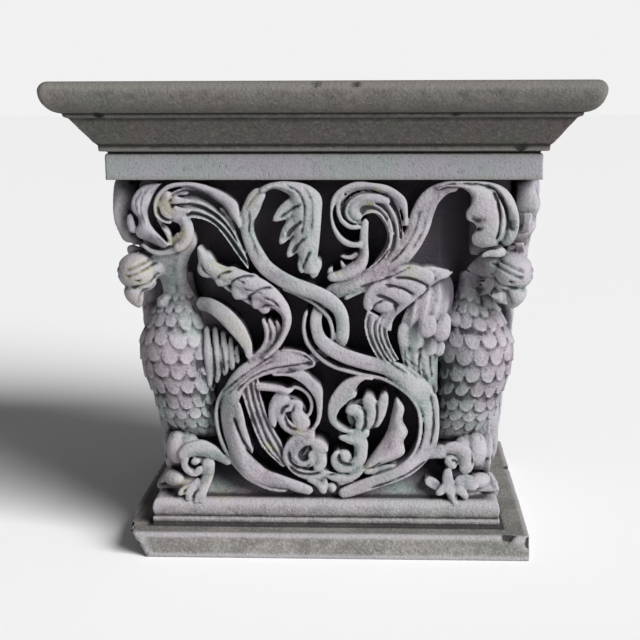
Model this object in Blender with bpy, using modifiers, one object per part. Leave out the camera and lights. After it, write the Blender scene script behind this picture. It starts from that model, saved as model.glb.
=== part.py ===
"""Cast stone pedestal with a moulded top slab, carved like a Romanesque capital.

Metres, +Z up, origin on the floor under the middle of the plinth, front face towards -Y.
Two castings: the carved pedestal with its step and plinth, and the slab that lies on it.
The first is parted just above the step's roll, so that each part has a simple outer form.
All four faces carry the same design, turned by quarter turns, with a bird at each corner.
"""
import math

import bmesh
import bpy
from mathutils import Matrix, Vector

# Plinth and step, from the floor up
PLINTH_WIDTH = 0.657
PLINTH_HEIGHT = 0.041
STEP_WIDTH = 0.567
STEP_FILLET_HEIGHT = 0.014
STEP_ROLL_HEIGHT = 0.030
STEP_ROLL_BULGE = 0.009
CARVED_HEIGHT = 0.524

# Plain core behind the carving, a bell with cut corners
CORE_FOOT_WIDTH = 0.418
CORE_HEAD_WIDTH = 0.550
CORE_FOOT_CHAMFER = 0.030
CORE_HEAD_CHAMFER = 0.090
COVE_WIDTH = 0.520
COVE_HEIGHT = 0.050

# Top slab, from its bed up
FASCIA_WIDTH = 0.676
FASCIA_HEIGHT = 0.0395
GROOVE_DEPTH = 0.004
GROOVE_HEIGHT = 0.005
GROOVE_EASE = 0.001
LOWER_FILLET_WIDTH = 0.694
LOWER_FILLET_HEIGHT = 0.0085
SLOPE_FOOT_WIDTH = 0.704
SLOPE_HEAD_WIDTH = 0.769
SLOPE_SET_UP = 0.004
SLOPE_HEIGHT = 0.039
UPPER_FILLET_WIDTH = 0.783
UPPER_FILLET_HEIGHT = 0.007
UPPER_FILLET_EASE = 0.002
TOP_ROLL_WIDTH = 0.846
TOP_ROLL_UNDERSIDE = 0.0345
TOP_ROLL_SHOULDER = 0.0135
BED_GAP = 0.0003

# The plinth's front left corner is broken off
BREAK_ALONG_SIDE = 0.118
BREAK_ACROSS_TOP = 0.0195
BREAK_ACROSS_FOOT = 0.0425

# The full-size drawing of one face, in millimetres: heights are above the floor and
# sideways distances from the face's middle line. The carving keeps this drawing's
# proportions and is fitted between the step's roll and the slab's fascia.
DRAWN_FOOT = 85.0
DRAWN_HEAD = 609.0
DRAWN_FOOT_HALF = 283.0
DRAWN_HEAD_HALF = 337.0
BAND_DEPTH = 40.0
FLUTE_DEPTH = 7.0
LOBE_DEPTH = 26.0

# How far the back of a band is sunk in the core behind it
KEEL_EMBED = 0.040

# The skin that fuses the carving: its grain, the facets that it is thinned to, how far the
# inner core and the carving's own top stay back from the faces around them, how far above
# the roll the casting is parted, and how far the parting blocks reach past it
SKIN_GRAIN = 0.0035
CARVING_FACETS = 8400
BED_INSET = 0.008
BED_DROP = 0.001
PARTING_RISE = 0.001
PARTING_MARGIN = 0.010

CARVED_FOOT = PLINTH_HEIGHT + STEP_FILLET_HEIGHT + STEP_ROLL_HEIGHT
CARVED_HEAD = CARVED_FOOT + CARVED_HEIGHT
DRAWING_SCALE = CARVED_HEIGHT / (DRAWN_HEAD - DRAWN_FOOT)


def clear_scene():
    for item in list(bpy.data.objects):
        bpy.data.objects.remove(item, do_unlink=True)


def new_collection(name):
    collection = bpy.data.collections.new(name)
    bpy.context.scene.collection.children.link(collection)
    return collection


def stone(name, colour, roughness):
    material = bpy.data.materials.new(name)
    material.use_nodes = True
    shader = material.node_tree.nodes["Principled BSDF"]
    shader.inputs["Base Color"].default_value = (*colour, 1.0)
    shader.inputs["Roughness"].default_value = roughness
    shader.inputs["Metallic"].default_value = 0.0
    return material


def add_object(name, bm, collection, material=None, guide=False):
    """Put a bmesh in the scene as a named object; a guide is only used by Booleans."""
    bmesh.ops.triangulate(bm, faces=bm.faces)
    bmesh.ops.recalc_face_normals(bm, faces=bm.faces)
    mesh = bpy.data.meshes.new(name)
    bm.to_mesh(mesh)
    bm.free()
    item = bpy.data.objects.new(name, mesh)
    collection.objects.link(item)
    if material:
        mesh.materials.append(material)
    if guide:
        item.hide_render = True
        item.display_type = "WIRE"
    return item


def lerp(a, b, t):
    return a + (b - a) * t


def drawn_share(z):
    """Height in the drawing as a share of the carved zone."""
    return (z - DRAWN_FOOT) / (DRAWN_HEAD - DRAWN_FOOT)


def face_half(share):
    return 0.5 * lerp(STEP_WIDTH, FASCIA_WIDTH, share)


def core_half(share):
    return 0.5 * lerp(CORE_FOOT_WIDTH, CORE_HEAD_WIDTH, share)


def side_scale(share):
    """How far the real face is stretched sideways against the drawing."""
    return face_half(share) / lerp(DRAWN_FOOT_HALF, DRAWN_HEAD_HALF, share)


def face_point(x, z, relief):
    """A point of the drawing on the front face; relief is outwards, None is in the core."""
    share = drawn_share(z)
    height = CARVED_FOOT + share * CARVED_HEIGHT
    if relief is None:
        depth = core_half(share) - KEEL_EMBED
    else:
        depth = face_half(share) + relief * DRAWING_SCALE
    return Vector((x * side_scale(share), -depth, height))


def corner_point(out, across, z):
    """A point near the corner: out is its drawn x on the diagonal, across is sideways."""
    share = drawn_share(z)
    height = CARVED_FOOT + share * CARVED_HEIGHT
    along = out * side_scale(share)
    aside = across * side_scale(share) / math.sqrt(2.0)
    return Vector((along + aside, -along + aside, height))


def smooth_path(points, steps):
    """Read a Catmull-Rom curve through the points at evenly spread places."""
    count = len(points)
    result = []
    for step in range(steps + 1):
        place = step * (count - 1) / steps
        index = min(int(place), count - 2)
        t = place - index
        p0 = points[max(index - 1, 0)]
        p1 = points[index]
        p2 = points[index + 1]
        p3 = points[min(index + 2, count - 1)]
        sample = []
        for a, b, c, d in zip(p0, p1, p2, p3):
            sample.append(0.5 * (2 * b + (c - a) * t + (2 * a - 5 * b + 4 * c - d) * t * t
                                 + (3 * b - a - 3 * c + d) * t ** 3))
        result.append(tuple(sample))
    return result


def loft(rings):
    """Closed solid through rings of equally many points, with flat ends."""
    bm = bmesh.new()
    rows = [[bm.verts.new(point) for point in ring] for ring in rings]
    count = len(rows[0])
    for lower, upper in zip(rows, rows[1:]):
        for i in range(count):
            j = (i + 1) % count
            bm.faces.new((lower[i], lower[j], upper[j], upper[i]))
    bm.faces.new(list(reversed(rows[0])))
    bm.faces.new(rows[-1])
    return bm


def section(flutes, crown, edge):
    """Cross-section of a carved band: (share of half width, relief) across its front."""
    if not flutes:
        return [(-1.0, -edge), (0.0, crown), (1.0, -edge)]
    points = [(-1.0, -edge)]
    for number in range(flutes):
        middle = -1.0 + (2 * number + 1) / flutes
        right = -1.0 + 2 * (number + 1) / flutes
        points.append((middle, crown - FLUTE_DEPTH))
        points.append((right, crown if number < flutes - 1 else -edge))
    return points


def band(points, steps, flutes=0, crown=5.0, edge=3.0, depth=BAND_DEPTH):
    """A carved band along a drawn path of (x, z, half width, relief).

    Its back is a keel at a drawn depth behind the face, or in the core where depth is None.
    """
    path = smooth_path(points, steps)
    rings = []
    for index, (x, z, half, lift) in enumerate(path):
        before = path[max(index - 1, 0)]
        after = path[min(index + 1, len(path) - 1)]
        run = Vector((after[0] - before[0], after[1] - before[1])).normalized()
        aside = Vector((run.y, -run.x))
        front = section(flutes, crown, edge)
        ring = [face_point(x + aside.x * half * a, z + aside.y * half * a, lift + r)
                for a, r in front]
        ring.append(face_point(x, z, None if depth is None else -depth))
        rings.append(ring)
    return loft(rings)


def lobe(root, tip, half, relief=2.0, crown=6.0, depth=LOBE_DEPTH):
    """A puffed leaf lobe that swells from its root and ends round at its tip."""
    points = []
    for place, width in ((0.0, 0.5), (0.6, 1.0), (1.0, 0.35)):
        x = lerp(root[0], tip[0], place)
        z = lerp(root[1], tip[1], place)
        points.append((x, z, half * width, relief))
    return band(points, 2, crown=crown, edge=4.0, depth=depth)


def scroll(centre, radii, angles, steps, half, relief=0.0, crown=5.0, depth=BAND_DEPTH):
    """A band rolled in a spiral about its centre, from one radius and angle to another."""
    points = []
    for step in range(steps + 1):
        share = step / steps
        angle = math.radians(lerp(angles[0], angles[1], share))
        radius = lerp(radii[0], radii[1], share)
        points.append((centre[0] + radius * math.cos(angle),
                       centre[1] + radius * math.sin(angle),
                       half * lerp(1.0, 0.7, share), relief))
    return band(points, steps, crown=crown, depth=depth)


def vines():
    """Two stems that rise from the foot, cross twice in a knot and end in hanging leaves."""
    left = [(-22, 98, 8, -2), (-75, 116, 11, 0), (-130, 152, 14, 0), (-160, 212, 14, 0),
            (-148, 268, 13, 0), (-95, 307, 14, 0), (-35, 319, 12, -4), (8, 333, 12, -9),
            (28, 364, 12, -2), (12, 405, 13, 5), (-35, 435, 13, 3), (-92, 467, 13, 0),
            (-118, 515, 12, 0), (-117, 560, 11, 0), (-92, 588, 10, 0), (-55, 594, 9, 0)]
    right = [(22, 99, 8, -2), (80, 116, 12, 0), (140, 151, 14, 0), (167, 210, 13, 0),
             (155, 263, 14, 0), (105, 301, 13, 0), (45, 315, 12, 3), (-2, 342, 12, 5),
             (-16, 378, 12, -2), (6, 420, 12, -9), (55, 448, 12, -3), (112, 480, 15, 0),
             (141, 530, 17, 0), (162, 575, 14, 0), (196, 592, 10, 0)]
    return [("left_vine", band(left, 22, depth=None)), ("right_vine", band(right, 21, depth=None))]


def swirls():
    """The fluted sprays that leave the vines and roll up under the slab."""
    corner = [(-116, 466, 3, -2), (-132, 503, 10, -1), (-150, 540, 20, 0), (-182, 572, 25, 0),
              (-222, 579, 21, 1), (-240, 572, 12, 1)]
    middle = [(78, 468, 5, -2), (108, 492, 12, -1), (117, 530, 18, 0), (106, 570, 24, 0),
              (74, 582, 20, 1), (56, 566, 11, 1)]
    return [
        ("corner_spray", band(corner, 7, flutes=3, depth=60.0)),
        ("corner_rim", scroll((-258, 545), (50, 34), (75, 375), 9, 8, depth=85)),
        ("corner_tongue", band([(-262, 592, 11, 0), (-284, 568, 14, 2), (-276, 536, 15, 2),
                                (-252, 508, 9, 0)], 4, depth=80)),
        ("corner_boss", lobe((-222, 575), (-252, 545), 17, relief=0, depth=80)),
        ("middle_spray", band(middle, 7, flutes=3, depth=60.0)),
        ("middle_rim", scroll((56, 552), (44, 38), (80, 275), 6, 8)),
        ("middle_curl", scroll((58, 556), (30, 22), (95, 300), 4, 9)),
        ("middle_stem", band([(52, 530, 10, -4), (62, 495, 9, -6), (50, 458, 9, -4)], 2)),
    ]


def hanging_leaves():
    """The lobed leaves that the two vines end in."""
    middle = [(-78, 593, 9, 0), (-48, 587, 14, 2), (-27, 568, 22, 3), (-22, 530, 22, 3),
              (-22, 490, 15, 2), (-12, 454, 7, 0)]
    outer = [(180, 588, 9, 0), (222, 593, 9, 1), (256, 580, 22, 3), (272, 545, 26, 3),
             (264, 512, 18, 1)]
    return [
        ("middle_leaf", band(middle, 6, flutes=2, crown=4.0, depth=60.0)),
        ("middle_leaf_lobe_1", lobe((-34, 548), (-73, 556), 13)),
        ("middle_leaf_lobe_2", lobe((-34, 512), (-68, 512), 12)),
        ("middle_leaf_lobe_3", lobe((-28, 488), (-54, 486), 11)),
        ("middle_leaf_lobe_4", lobe((-22, 470), (-34, 454), 10)),
        ("outer_leaf", band(outer, 5, flutes=2, crown=4.0, depth=90)),
        ("outer_leaf_lobe_1", lobe((256, 560), (224, 551), 13, depth=80)),
        ("outer_leaf_lobe_2", lobe((262, 528), (234, 504), 16, depth=80)),
    ]


def side_leaves():
    """Acanthus leaves that spring from the loops and lean towards the birds."""
    left = [(-88, 318, 10, 0), (-64, 350, 8, 1), (-59, 388, 9, 2), (-82, 425, 15, 3),
            (-125, 450, 14, 3), (-172, 462, 13, 2), (-202, 494, 5, 0)]
    right = [(122, 304, 16, 0), (98, 338, 17, 1), (86, 378, 18, 2), (112, 408, 10, 1),
             (158, 424, 8, 1), (200, 452, 6, 0)]
    return [
        ("left_leaf", band(left, 8)),
        ("left_leaf_flutes", band([(-112, 306, 10, -2), (-92, 345, 16, -1), (-84, 382, 15, 0)],
                                  2, flutes=3, crown=4.0)),
        ("left_leaf_lobe_1", lobe((-122, 440), (-168, 434), 12)),
        ("left_leaf_lobe_2", lobe((-104, 430), (-142, 416), 12)),
        ("left_leaf_lobe_3", lobe((-78, 420), (-112, 404), 12)),
        ("right_leaf", band(right, 6, flutes=2)),
        ("right_leaf_lobe_1", lobe((76, 424), (112, 404), 12)),
        ("right_leaf_lobe_2", lobe((90, 438), (140, 416), 14)),
        ("right_leaf_lobe_3", lobe((108, 452), (164, 432), 14)),
        ("right_leaf_lobe_4", lobe((120, 462), (196, 460), 10)),
    ]


def wings():
    """The wing that each bird lays on the face: its bent rim, short and long feathers."""
    return [
        ("left_wing_rim", band([(-200, 416, 7, 0), (-160, 400, 11, 2), (-130, 362, 10, 2),
                                (-119, 318, 8, 0)], 4)),
        ("left_wing_feathers", band([(-160, 372, 18, -14), (-166, 330, 20, -12),
                                     (-178, 276, 12, -12)], 3, flutes=2, crown=3.0)),
        ("left_wing_quills", band([(-128, 282, 10, -12), (-122, 225, 13, -12),
                                   (-100, 165, 13, -10), (-66, 140, 6, -8)], 4,
                                  flutes=2, crown=4.0)),
        ("right_wing_cap", band([(142, 398, 10, -4), (172, 416, 28, 0), (203, 420, 22, -2)], 3,
                                crown=8.0, edge=10.0)),
        ("right_wing_feathers", band([(166, 395, 26, -14), (160, 345, 28, -10),
                                      (160, 290, 24, -10), (172, 258, 8, -12)], 4,
                                     flutes=3, crown=4.0)),
    ]


def inner_scrolls():
    """Scrolls, lobes and small leaves that fill the two loops."""
    return [
        ("left_strap", band([(-78, 296, 4, -6), (-42, 292, 8, -3), (-10, 262, 9, 0),
                             (-9, 222, 8, 0), (-34, 200, 5, 0), (-64, 212, 4, -3)], 7,
                            depth=None)),
        ("left_strap_lobe_1", lobe((-78, 226), (-56, 264), 16)),
        ("left_strap_lobe_2", lobe((-58, 216), (-36, 248), 15)),
        ("left_strap_knob", lobe((-22, 220), (-52, 208), 11, relief=0)),
        ("left_small_leaf", lobe((-102, 274), (-86, 240), 13, relief=-8)),
        ("left_spiral", scroll((-38, 163), (32, 15), (62, 400), 10, 7, depth=None)),
        ("left_spiral_tip", lobe((-24, 160), (4, 166), 10, relief=-2)),
        ("right_strap", band([(72, 292, 3, -6), (36, 288, 7, -3), (12, 254, 8, 0),
                              (16, 216, 7, 0), (52, 198, 6, 0)], 6, depth=None)),
        ("right_strap_lobe_1", lobe((60, 206), (38, 240), 15)),
        ("right_strap_lobe_2", lobe((72, 208), (68, 262), 13)),
        ("right_strap_lobe_3", lobe((80, 212), (96, 262), 9)),
        ("right_spiral", band([(64, 198, 8, -2), (57, 165, 9, 0), (38, 138, 8, 0),
                               (14, 150, 7, 0), (24, 168, 7, 0)], 7, depth=None)),
        ("right_spiral_boss", lobe((36, 162), (24, 148), 9, relief=0)),
        ("serrated_leaf", band([(116, 257, 3, -10), (118, 228, 10, -8), (110, 192, 20, -6),
                                (92, 160, 16, -6), (64, 142, 5, -6)], 5, depth=None)),
        ("foot_stem_left", band([(-22, 132, 4, -4), (-10, 112, 6, -4), (-6, 92, 6, -4)], 2)),
        ("foot_stem_right", band([(4, 126, 4, -4), (9, 108, 6, -4), (8, 92, 6, -4)], 2)),
    ]


def legs():
    """A leg of each bird on this face: thigh, shank and claws on the roll."""
    parts = []
    for side, name in ((-1, "left"), (1, "right")):
        foot = side * 208
        parts.append((name + "_thigh", band([(side * 176, 164, 8, -6), (side * 206, 160, 17, 2),
                                             (side * 232, 150, 12, 0)], 3)))
        parts.append((name + "_shank", band([(side * 196, 150, 8, -6),
                                             (side * 206, 92, 8, 2)], 1)))
        for turn in (-18, 0, 18):
            parts.append((f"{name}_claw_{turn}",
                          lobe((foot, 100), (foot + turn, 72), 5, relief=3)))
    return parts


def bird_body(scale_rows=9, scales_around=10, raised=7.0):
    """The bird's body at the corner, with staggered rows of raised scale points."""
    outline = [(186, 200, 22), (200, 214, 40), (240, 222, 58), (290, 229, 67), (335, 234, 70),
               (365, 234, 62), (392, 228, 48), (420, 226, 38)]
    rings = []
    around = 2 * scales_around
    for index, (z, out, radius) in enumerate(smooth_path(outline, scale_rows)):
        ring = []
        for step in range(around):
            angle = 2 * math.pi * step / around
            reach = radius + raised * ((step + index) % 2 - 0.5)
            ring.append(corner_point(out + reach * math.cos(angle) / math.sqrt(2.0),
                                     reach * math.sin(angle), z))
        rings.append(ring)
    return loft(rings)


def ring_at(out, z, reach, width, around, lean):
    """A ring across the diagonal; lean tips it from level (0) towards upright (90)."""
    ring = []
    tip = math.radians(lean)
    for step in range(around):
        angle = 2 * math.pi * step / around
        forward = reach * math.cos(angle)
        ring.append(corner_point(out + forward * math.cos(tip) / math.sqrt(2.0),
                                 width * math.sin(angle), z + forward * math.sin(tip)))
    return ring


def bird_neck_and_head():
    """Neck, round head and hooked beak, leaning out along the diagonal."""
    outline = [(400, 226, 34, 34, 0), (440, 234, 27, 24, 8), (468, 248, 30, 26, 42),
               (472, 278, 33, 31, 80), (462, 306, 26, 26, 108), (444, 320, 17, 17, 140),
               (420, 319, 13, 12, 168), (404, 309, 7, 8, 185)]
    rings = []
    for z, out, reach, width, lean in outline:
        rings.append(ring_at(out, z, reach, width, 8, lean))
    return loft(rings)


def bird_nape():
    """The nape on both faces, which ties head and body to the leaf rolled above them."""
    left = [(-226, 436, 13, -24), (-230, 472, 14, -22), (-220, 512, 9, -18)]
    right = [(-x, z, half, relief) for x, z, half, relief in left]
    return [("left_nape", band(left, 3, crown=9.0)), ("right_nape", band(right, 3, crown=9.0))]


def bird():
    return [("bird_body", bird_body()), ("bird_neck_and_head", bird_neck_and_head())]


def carve_pattern():
    """Everything carved on one face and its right-hand corner."""
    return (vines() + swirls() + hanging_leaves() + side_leaves() + wings()
            + inner_scrolls() + legs() + bird_nape() + bird())


def square_stack(levels):
    """Closed square moulding through (width, height) levels."""
    rings = []
    for width, height in levels:
        half = 0.5 * width
        rings.append([Vector((sx * half, sy * half, height))
                      for sx, sy in ((-1, -1), (1, -1), (1, 1), (-1, 1))])
    return loft(rings)


def quarter_round(foot, head, steps, level_first):
    """Levels of a quarter ellipse between two (width, height) points, both ends included."""
    levels = []
    for step in range(steps + 1):
        angle = 0.5 * math.pi * step / steps
        out, up = math.sin(angle), 1.0 - math.cos(angle)
        if not level_first:
            out, up = up, out
        levels.append((lerp(foot[0], head[0], out), lerp(foot[1], head[1], up)))
    return levels


def roll_levels(width, foot, height, bulge, steps):
    """Levels of a rounded moulding whose widest line is at half its height."""
    narrow = width - 2 * bulge
    middle = (width, foot + 0.5 * height)
    lower = quarter_round((narrow, foot), middle, steps, True)
    upper = quarter_round(middle, (narrow, foot + height), steps, False)
    return lower + upper[1:]


def stepped_foot(guides, material):
    """Plinth and step with its fillet and roll, up to the foot of the carving."""
    levels = [(PLINTH_WIDTH, 0.0), (PLINTH_WIDTH, PLINTH_HEIGHT), (STEP_WIDTH, PLINTH_HEIGHT),
              (STEP_WIDTH, PLINTH_HEIGHT + STEP_FILLET_HEIGHT)]
    levels += roll_levels(STEP_WIDTH, PLINTH_HEIGHT + STEP_FILLET_HEIGHT, STEP_ROLL_HEIGHT,
                          STEP_ROLL_BULGE, 3)
    bm = square_stack(levels)
    break_plinth_corner(bm)
    return add_object("casting", bm, guides, material, guide=True)


def bell(name, inset, head, guides):
    """The plain core behind the carving: a cove at its foot, flaring up to the slab."""
    levels = [(COVE_WIDTH, CARVED_FOOT - STEP_ROLL_HEIGHT / 2, CORE_FOOT_CHAMFER),
              (COVE_WIDTH, CARVED_FOOT, CORE_FOOT_CHAMFER),
              (CORE_FOOT_WIDTH, CARVED_FOOT + COVE_HEIGHT, CORE_FOOT_CHAMFER),
              (CORE_HEAD_WIDTH, head, CORE_HEAD_CHAMFER)]
    rings = []
    for width, height, chamfer in levels:
        half = 0.5 * (width - inset)
        ring = []
        for turn in range(4):
            rotation = Matrix.Rotation(math.radians(90.0 * turn), 3, "Z")
            ring += [rotation @ Vector((along, -half, height))
                     for along in (chamfer - half, half - chamfer)]
        rings.append(ring)
    return add_object(name, loft(rings), guides, guide=True)


def break_plinth_corner(bm):
    """Cut the front left corner of the plinth away along its slanting break."""
    corner = -0.5 * PLINTH_WIDTH
    side = Vector((corner, corner + BREAK_ALONG_SIDE, PLINTH_HEIGHT))
    top = Vector((corner + BREAK_ACROSS_TOP, corner, PLINTH_HEIGHT))
    foot = Vector((corner + BREAK_ACROSS_FOOT, corner, 0.0))
    normal = (foot - top).cross(side - top).normalized()
    if normal.x > 0.0:
        normal.negate()
    everything = bm.verts[:] + bm.edges[:] + bm.faces[:]
    cut = bmesh.ops.bisect_plane(bm, geom=everything, plane_co=top, plane_no=normal,
                                 clear_outer=True)
    rim = [item for item in cut["geom_cut"] if isinstance(item, bmesh.types.BMEdge)]
    bmesh.ops.holes_fill(bm, edges=rim)


def boolean(target, name, other, operation="UNION"):
    """Fuse an object, or every object of a collection, with the target, or cut it away."""
    modifier = target.modifiers.new(name, "BOOLEAN")
    modifier.operation = operation
    if isinstance(other, bpy.types.Collection):
        modifier.operand_type = "COLLECTION"
        modifier.collection = other
    else:
        modifier.object = other
    # The exact solver leaves open edges where many carved bands cross
    modifier.solver = "MANIFOLD"


def evaluated_mesh(item):
    depsgraph = bpy.context.evaluated_depsgraph_get()
    return bpy.data.meshes.new_from_object(item.evaluated_get(depsgraph))


def bake(item):
    """Make what the modifiers show the object's own mesh, as one skin of one material."""
    material = item.active_material
    item.data = evaluated_mesh(item)
    item.modifiers.clear()
    keep_outer_skin(item.data)
    item.data.materials.clear()
    if material:
        item.data.materials.append(material)


def keep_outer_skin(mesh):
    """Fill any void closed inside the stone: keep only the largest connected skin."""
    bm = bmesh.new()
    bm.from_mesh(mesh)
    unseen = set(bm.verts)
    largest = []
    while unseen:
        island = [unseen.pop()]
        for vert in island:
            for edge in vert.link_edges:
                other = edge.other_vert(vert)
                if other in unseen:
                    unseen.remove(other)
                    island.append(other)
        if len(island) > len(largest):
            largest = island
    kept = set(largest)
    bmesh.ops.delete(bm, geom=[vert for vert in bm.verts if vert not in kept], context="VERTS")
    bm.to_mesh(mesh)
    bm.free()


def carve(guides, bands):
    """The core's faces with the carving of all four sides, as one thinned skin."""
    carving = bell("carving", 0.0, CARVED_HEAD - BED_DROP, guides)
    for turn in range(4):
        rotation = Matrix.Rotation(math.radians(90.0 * turn), 4, "Z")
        for name, bm in carve_pattern():
            bmesh.ops.transform(bm, matrix=rotation, verts=bm.verts)
            add_object(f"{name}_{turn}", bm, bands, guide=True)
    boolean(carving, "fuse_bands", bands)
    skin = carving.modifiers.new("one_skin", "REMESH")
    skin.mode = "VOXEL"
    skin.voxel_size = SKIN_GRAIN
    bake(carving)
    thin = carving.modifiers.new("thin_facets", "DECIMATE")
    thin.ratio = CARVING_FACETS / (2 * len(carving.data.polygons))
    return carving


def parted(casting, name, foot, head, guides, parts):
    """The stretch of the casting between two heights, as a solid of its own."""
    block = square_stack([(TOP_ROLL_WIDTH, foot), (TOP_ROLL_WIDTH, head)])
    stretch = add_object(name + "_stretch", block, guides, guide=True)
    part = bpy.data.objects.new(name, casting.data.copy())
    parts.objects.link(part)
    boolean(part, "part_" + name, stretch, "INTERSECT")
    bake(part)
    return part


def top_slab(collection, material):
    """The moulded slab: fascia, groove, fillets, slope and the big top roll."""
    z = CARVED_HEAD
    levels = [(FASCIA_WIDTH, z), (FASCIA_WIDTH, z + FASCIA_HEIGHT)]
    z += FASCIA_HEIGHT
    levels.append((FASCIA_WIDTH - 2 * GROOVE_DEPTH, z + GROOVE_EASE))
    z += GROOVE_HEIGHT
    levels.append((FASCIA_WIDTH - 2 * GROOVE_DEPTH, z - GROOVE_EASE))
    levels.append((LOWER_FILLET_WIDTH, z))
    z += LOWER_FILLET_HEIGHT
    levels.append((LOWER_FILLET_WIDTH, z))
    levels.append((SLOPE_FOOT_WIDTH, z + SLOPE_SET_UP))
    z += SLOPE_SET_UP + SLOPE_HEIGHT
    levels.append((SLOPE_HEAD_WIDTH, z))
    levels.append((UPPER_FILLET_WIDTH, z + UPPER_FILLET_EASE))
    z += UPPER_FILLET_HEIGHT
    levels.append((UPPER_FILLET_WIDTH, z))
    widest = (TOP_ROLL_WIDTH, z + TOP_ROLL_UNDERSIDE)
    rim = (TOP_ROLL_WIDTH - 2 * TOP_ROLL_SHOULDER, widest[1] + TOP_ROLL_SHOULDER)
    levels += quarter_round(levels[-1], widest, 5, True)[1:]
    levels += quarter_round(widest, rim, 3, False)[1:]
    return add_object("top_slab", square_stack(levels), collection, material)


def build():
    clear_scene()
    parts = new_collection("cast_stone_pedestal")
    guides = new_collection("carving_guides")
    bands = new_collection("carved_bands")
    grey = stone("weathered_cast_stone", (0.36, 0.35, 0.36), 0.9)
    olive = stone("weathered_cast_stone_slab", (0.22, 0.21, 0.19), 0.9)
    casting = stepped_foot(guides, grey)
    boolean(casting, "fuse_core", bell("inner_core", BED_INSET, CARVED_HEAD - BED_GAP, guides))
    boolean(casting, "fuse_carving", carve(guides, bands))
    bake(casting)
    bed = CARVED_FOOT + PARTING_RISE
    parted(casting, "stepped_plinth", -PARTING_MARGIN, bed, guides, parts)
    parted(casting, "carved_capital", bed + BED_GAP, CARVED_HEAD + PARTING_MARGIN, guides, parts)
    top_slab(parts, olive)


build()
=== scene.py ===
import math
import random

import bmesh
import bpy
import numpy as np
from mathutils import Matrix, Vector, noise


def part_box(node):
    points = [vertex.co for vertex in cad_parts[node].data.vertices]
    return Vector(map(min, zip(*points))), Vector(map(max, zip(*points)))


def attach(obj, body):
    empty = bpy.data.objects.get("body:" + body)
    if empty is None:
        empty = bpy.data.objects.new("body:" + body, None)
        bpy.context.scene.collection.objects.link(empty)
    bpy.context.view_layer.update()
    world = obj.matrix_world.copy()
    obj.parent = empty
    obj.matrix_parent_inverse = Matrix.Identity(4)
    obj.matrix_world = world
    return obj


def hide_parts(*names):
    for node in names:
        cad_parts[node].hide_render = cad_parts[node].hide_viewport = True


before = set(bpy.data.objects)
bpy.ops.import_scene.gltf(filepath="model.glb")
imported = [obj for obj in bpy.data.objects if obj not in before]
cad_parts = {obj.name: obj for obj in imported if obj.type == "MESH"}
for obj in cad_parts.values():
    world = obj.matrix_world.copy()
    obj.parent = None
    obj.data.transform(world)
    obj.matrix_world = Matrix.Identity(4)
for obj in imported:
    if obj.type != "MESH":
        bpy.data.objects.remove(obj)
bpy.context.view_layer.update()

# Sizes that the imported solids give, in metres
_, plinth_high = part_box("stepped_plinth")
_, capital_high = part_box("carved_capital")
slab_low, slab_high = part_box("top_slab")
PLINTH_HALF = plinth_high.x
SLAB_HALF = slab_high.x
SLAB_TOP = slab_high.z
BED = slab_low.z

# The full-size drawing of one face: millimetres sideways from its middle line and above the
# floor, with the face plane leaning out from the step's roll to the slab
DRAWN_BED = 609.0
MM = BED / DRAWN_BED
DRAWN_FOOT = 85.0
COVE_HEAD = 135.0
FACE_FOOT_HALF = 283.5
FACE_HEAD_HALF = 338.0
COVE_HALF = 260.0
CORE_FOOT_HALF = 209.0
CORE_HEAD_HALF = 275.0

# Beside the birds' lower bodies the face falls back: how much, from how far out, over what width
FALL_BACK, FALL_FROM, FALL_OVER = 18, 128, 52
# Near the corners a web ends in the corner's own stone: from how far out, over what width, how
# deep, and how far into the core it runs elsewhere
CORNER_FROM, CORNER_OVER, CORNER_DEPTH = 172, 36, 34
INTO_CORE = 6
# The depth behind the face at which painted shade begins in the recesses, and the depth over which
# it deepens
PAINTED_SHADE_FROM, PAINTED_SHADE_OVER = 15, 20
# The noise scales of the wear's slow waves and fine roughness, per metre
SLOW_WAVES, FINE_ROUGHNESS = 38.0, 210.0

# How closely the carving is made: the grain that fuses its strokes, in metres, the triangles
# that each finished piece is thinned to, and the millimetres between stations on a line
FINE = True
GRAIN = 0.0015 if FINE else 0.0032
FACE_TRIANGLES = 150000 if FINE else 60000
BIRD_TRIANGLES = 46000 if FINE else 16000
STATION = 4.0


def face_half(z):
    return np.interp(z, (DRAWN_FOOT, DRAWN_BED), (FACE_FOOT_HALF, FACE_HEAD_HALF))


def face_out(x, z):
    """How far out the face lies: it falls back beside the lower bodies of the birds."""
    beside = np.clip((np.abs(x) - FALL_FROM) / FALL_OVER, 0, 1)
    return face_half(z) - FALL_BACK * beside ** 2 * (3 - 2 * beside) * np.interp(
        z, (96, 122, 250, 330), (0, 1, 1, 0))


def core_half(z):
    return np.interp(z, (DRAWN_FOOT, COVE_HEAD, DRAWN_BED),
                     (COVE_HALF, CORE_FOOT_HALF, CORE_HEAD_HALF))


def backing(x, z):
    """How far behind the face a web ends: in the core, or in the corner's own stone."""
    near_corner = np.clip((np.abs(x) - CORNER_FROM) / CORNER_OVER, 0, 1)
    in_core = core_half(z) - face_half(z) - INTO_CORE
    return in_core * (1 - near_corner) - CORNER_DEPTH * near_corner


def on_face(x, z, out):
    """Metres on the front face from drawn millimetres; out is towards the front."""
    return np.stack([x * MM, -(face_out(x, z) + out) * MM, z * MM], axis=-1)


def drawn(text):
    """Lines of points from their text: semicolons part the lines and spaces the points, and
    commas the values of a point, its place first."""
    return [[tuple(map(float, point.split(","))) for point in line.split()]
            for line in text.split(";")]


def complete(points, *values):
    """Give every drawn point all its values: what is left out stays as at the point before."""
    rows, last = [], list(values)
    for point in points:
        given = point[2:]
        last[:len(given)] = given
        rows.append((*point[:2], *last))
    return np.array(rows, float)


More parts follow.
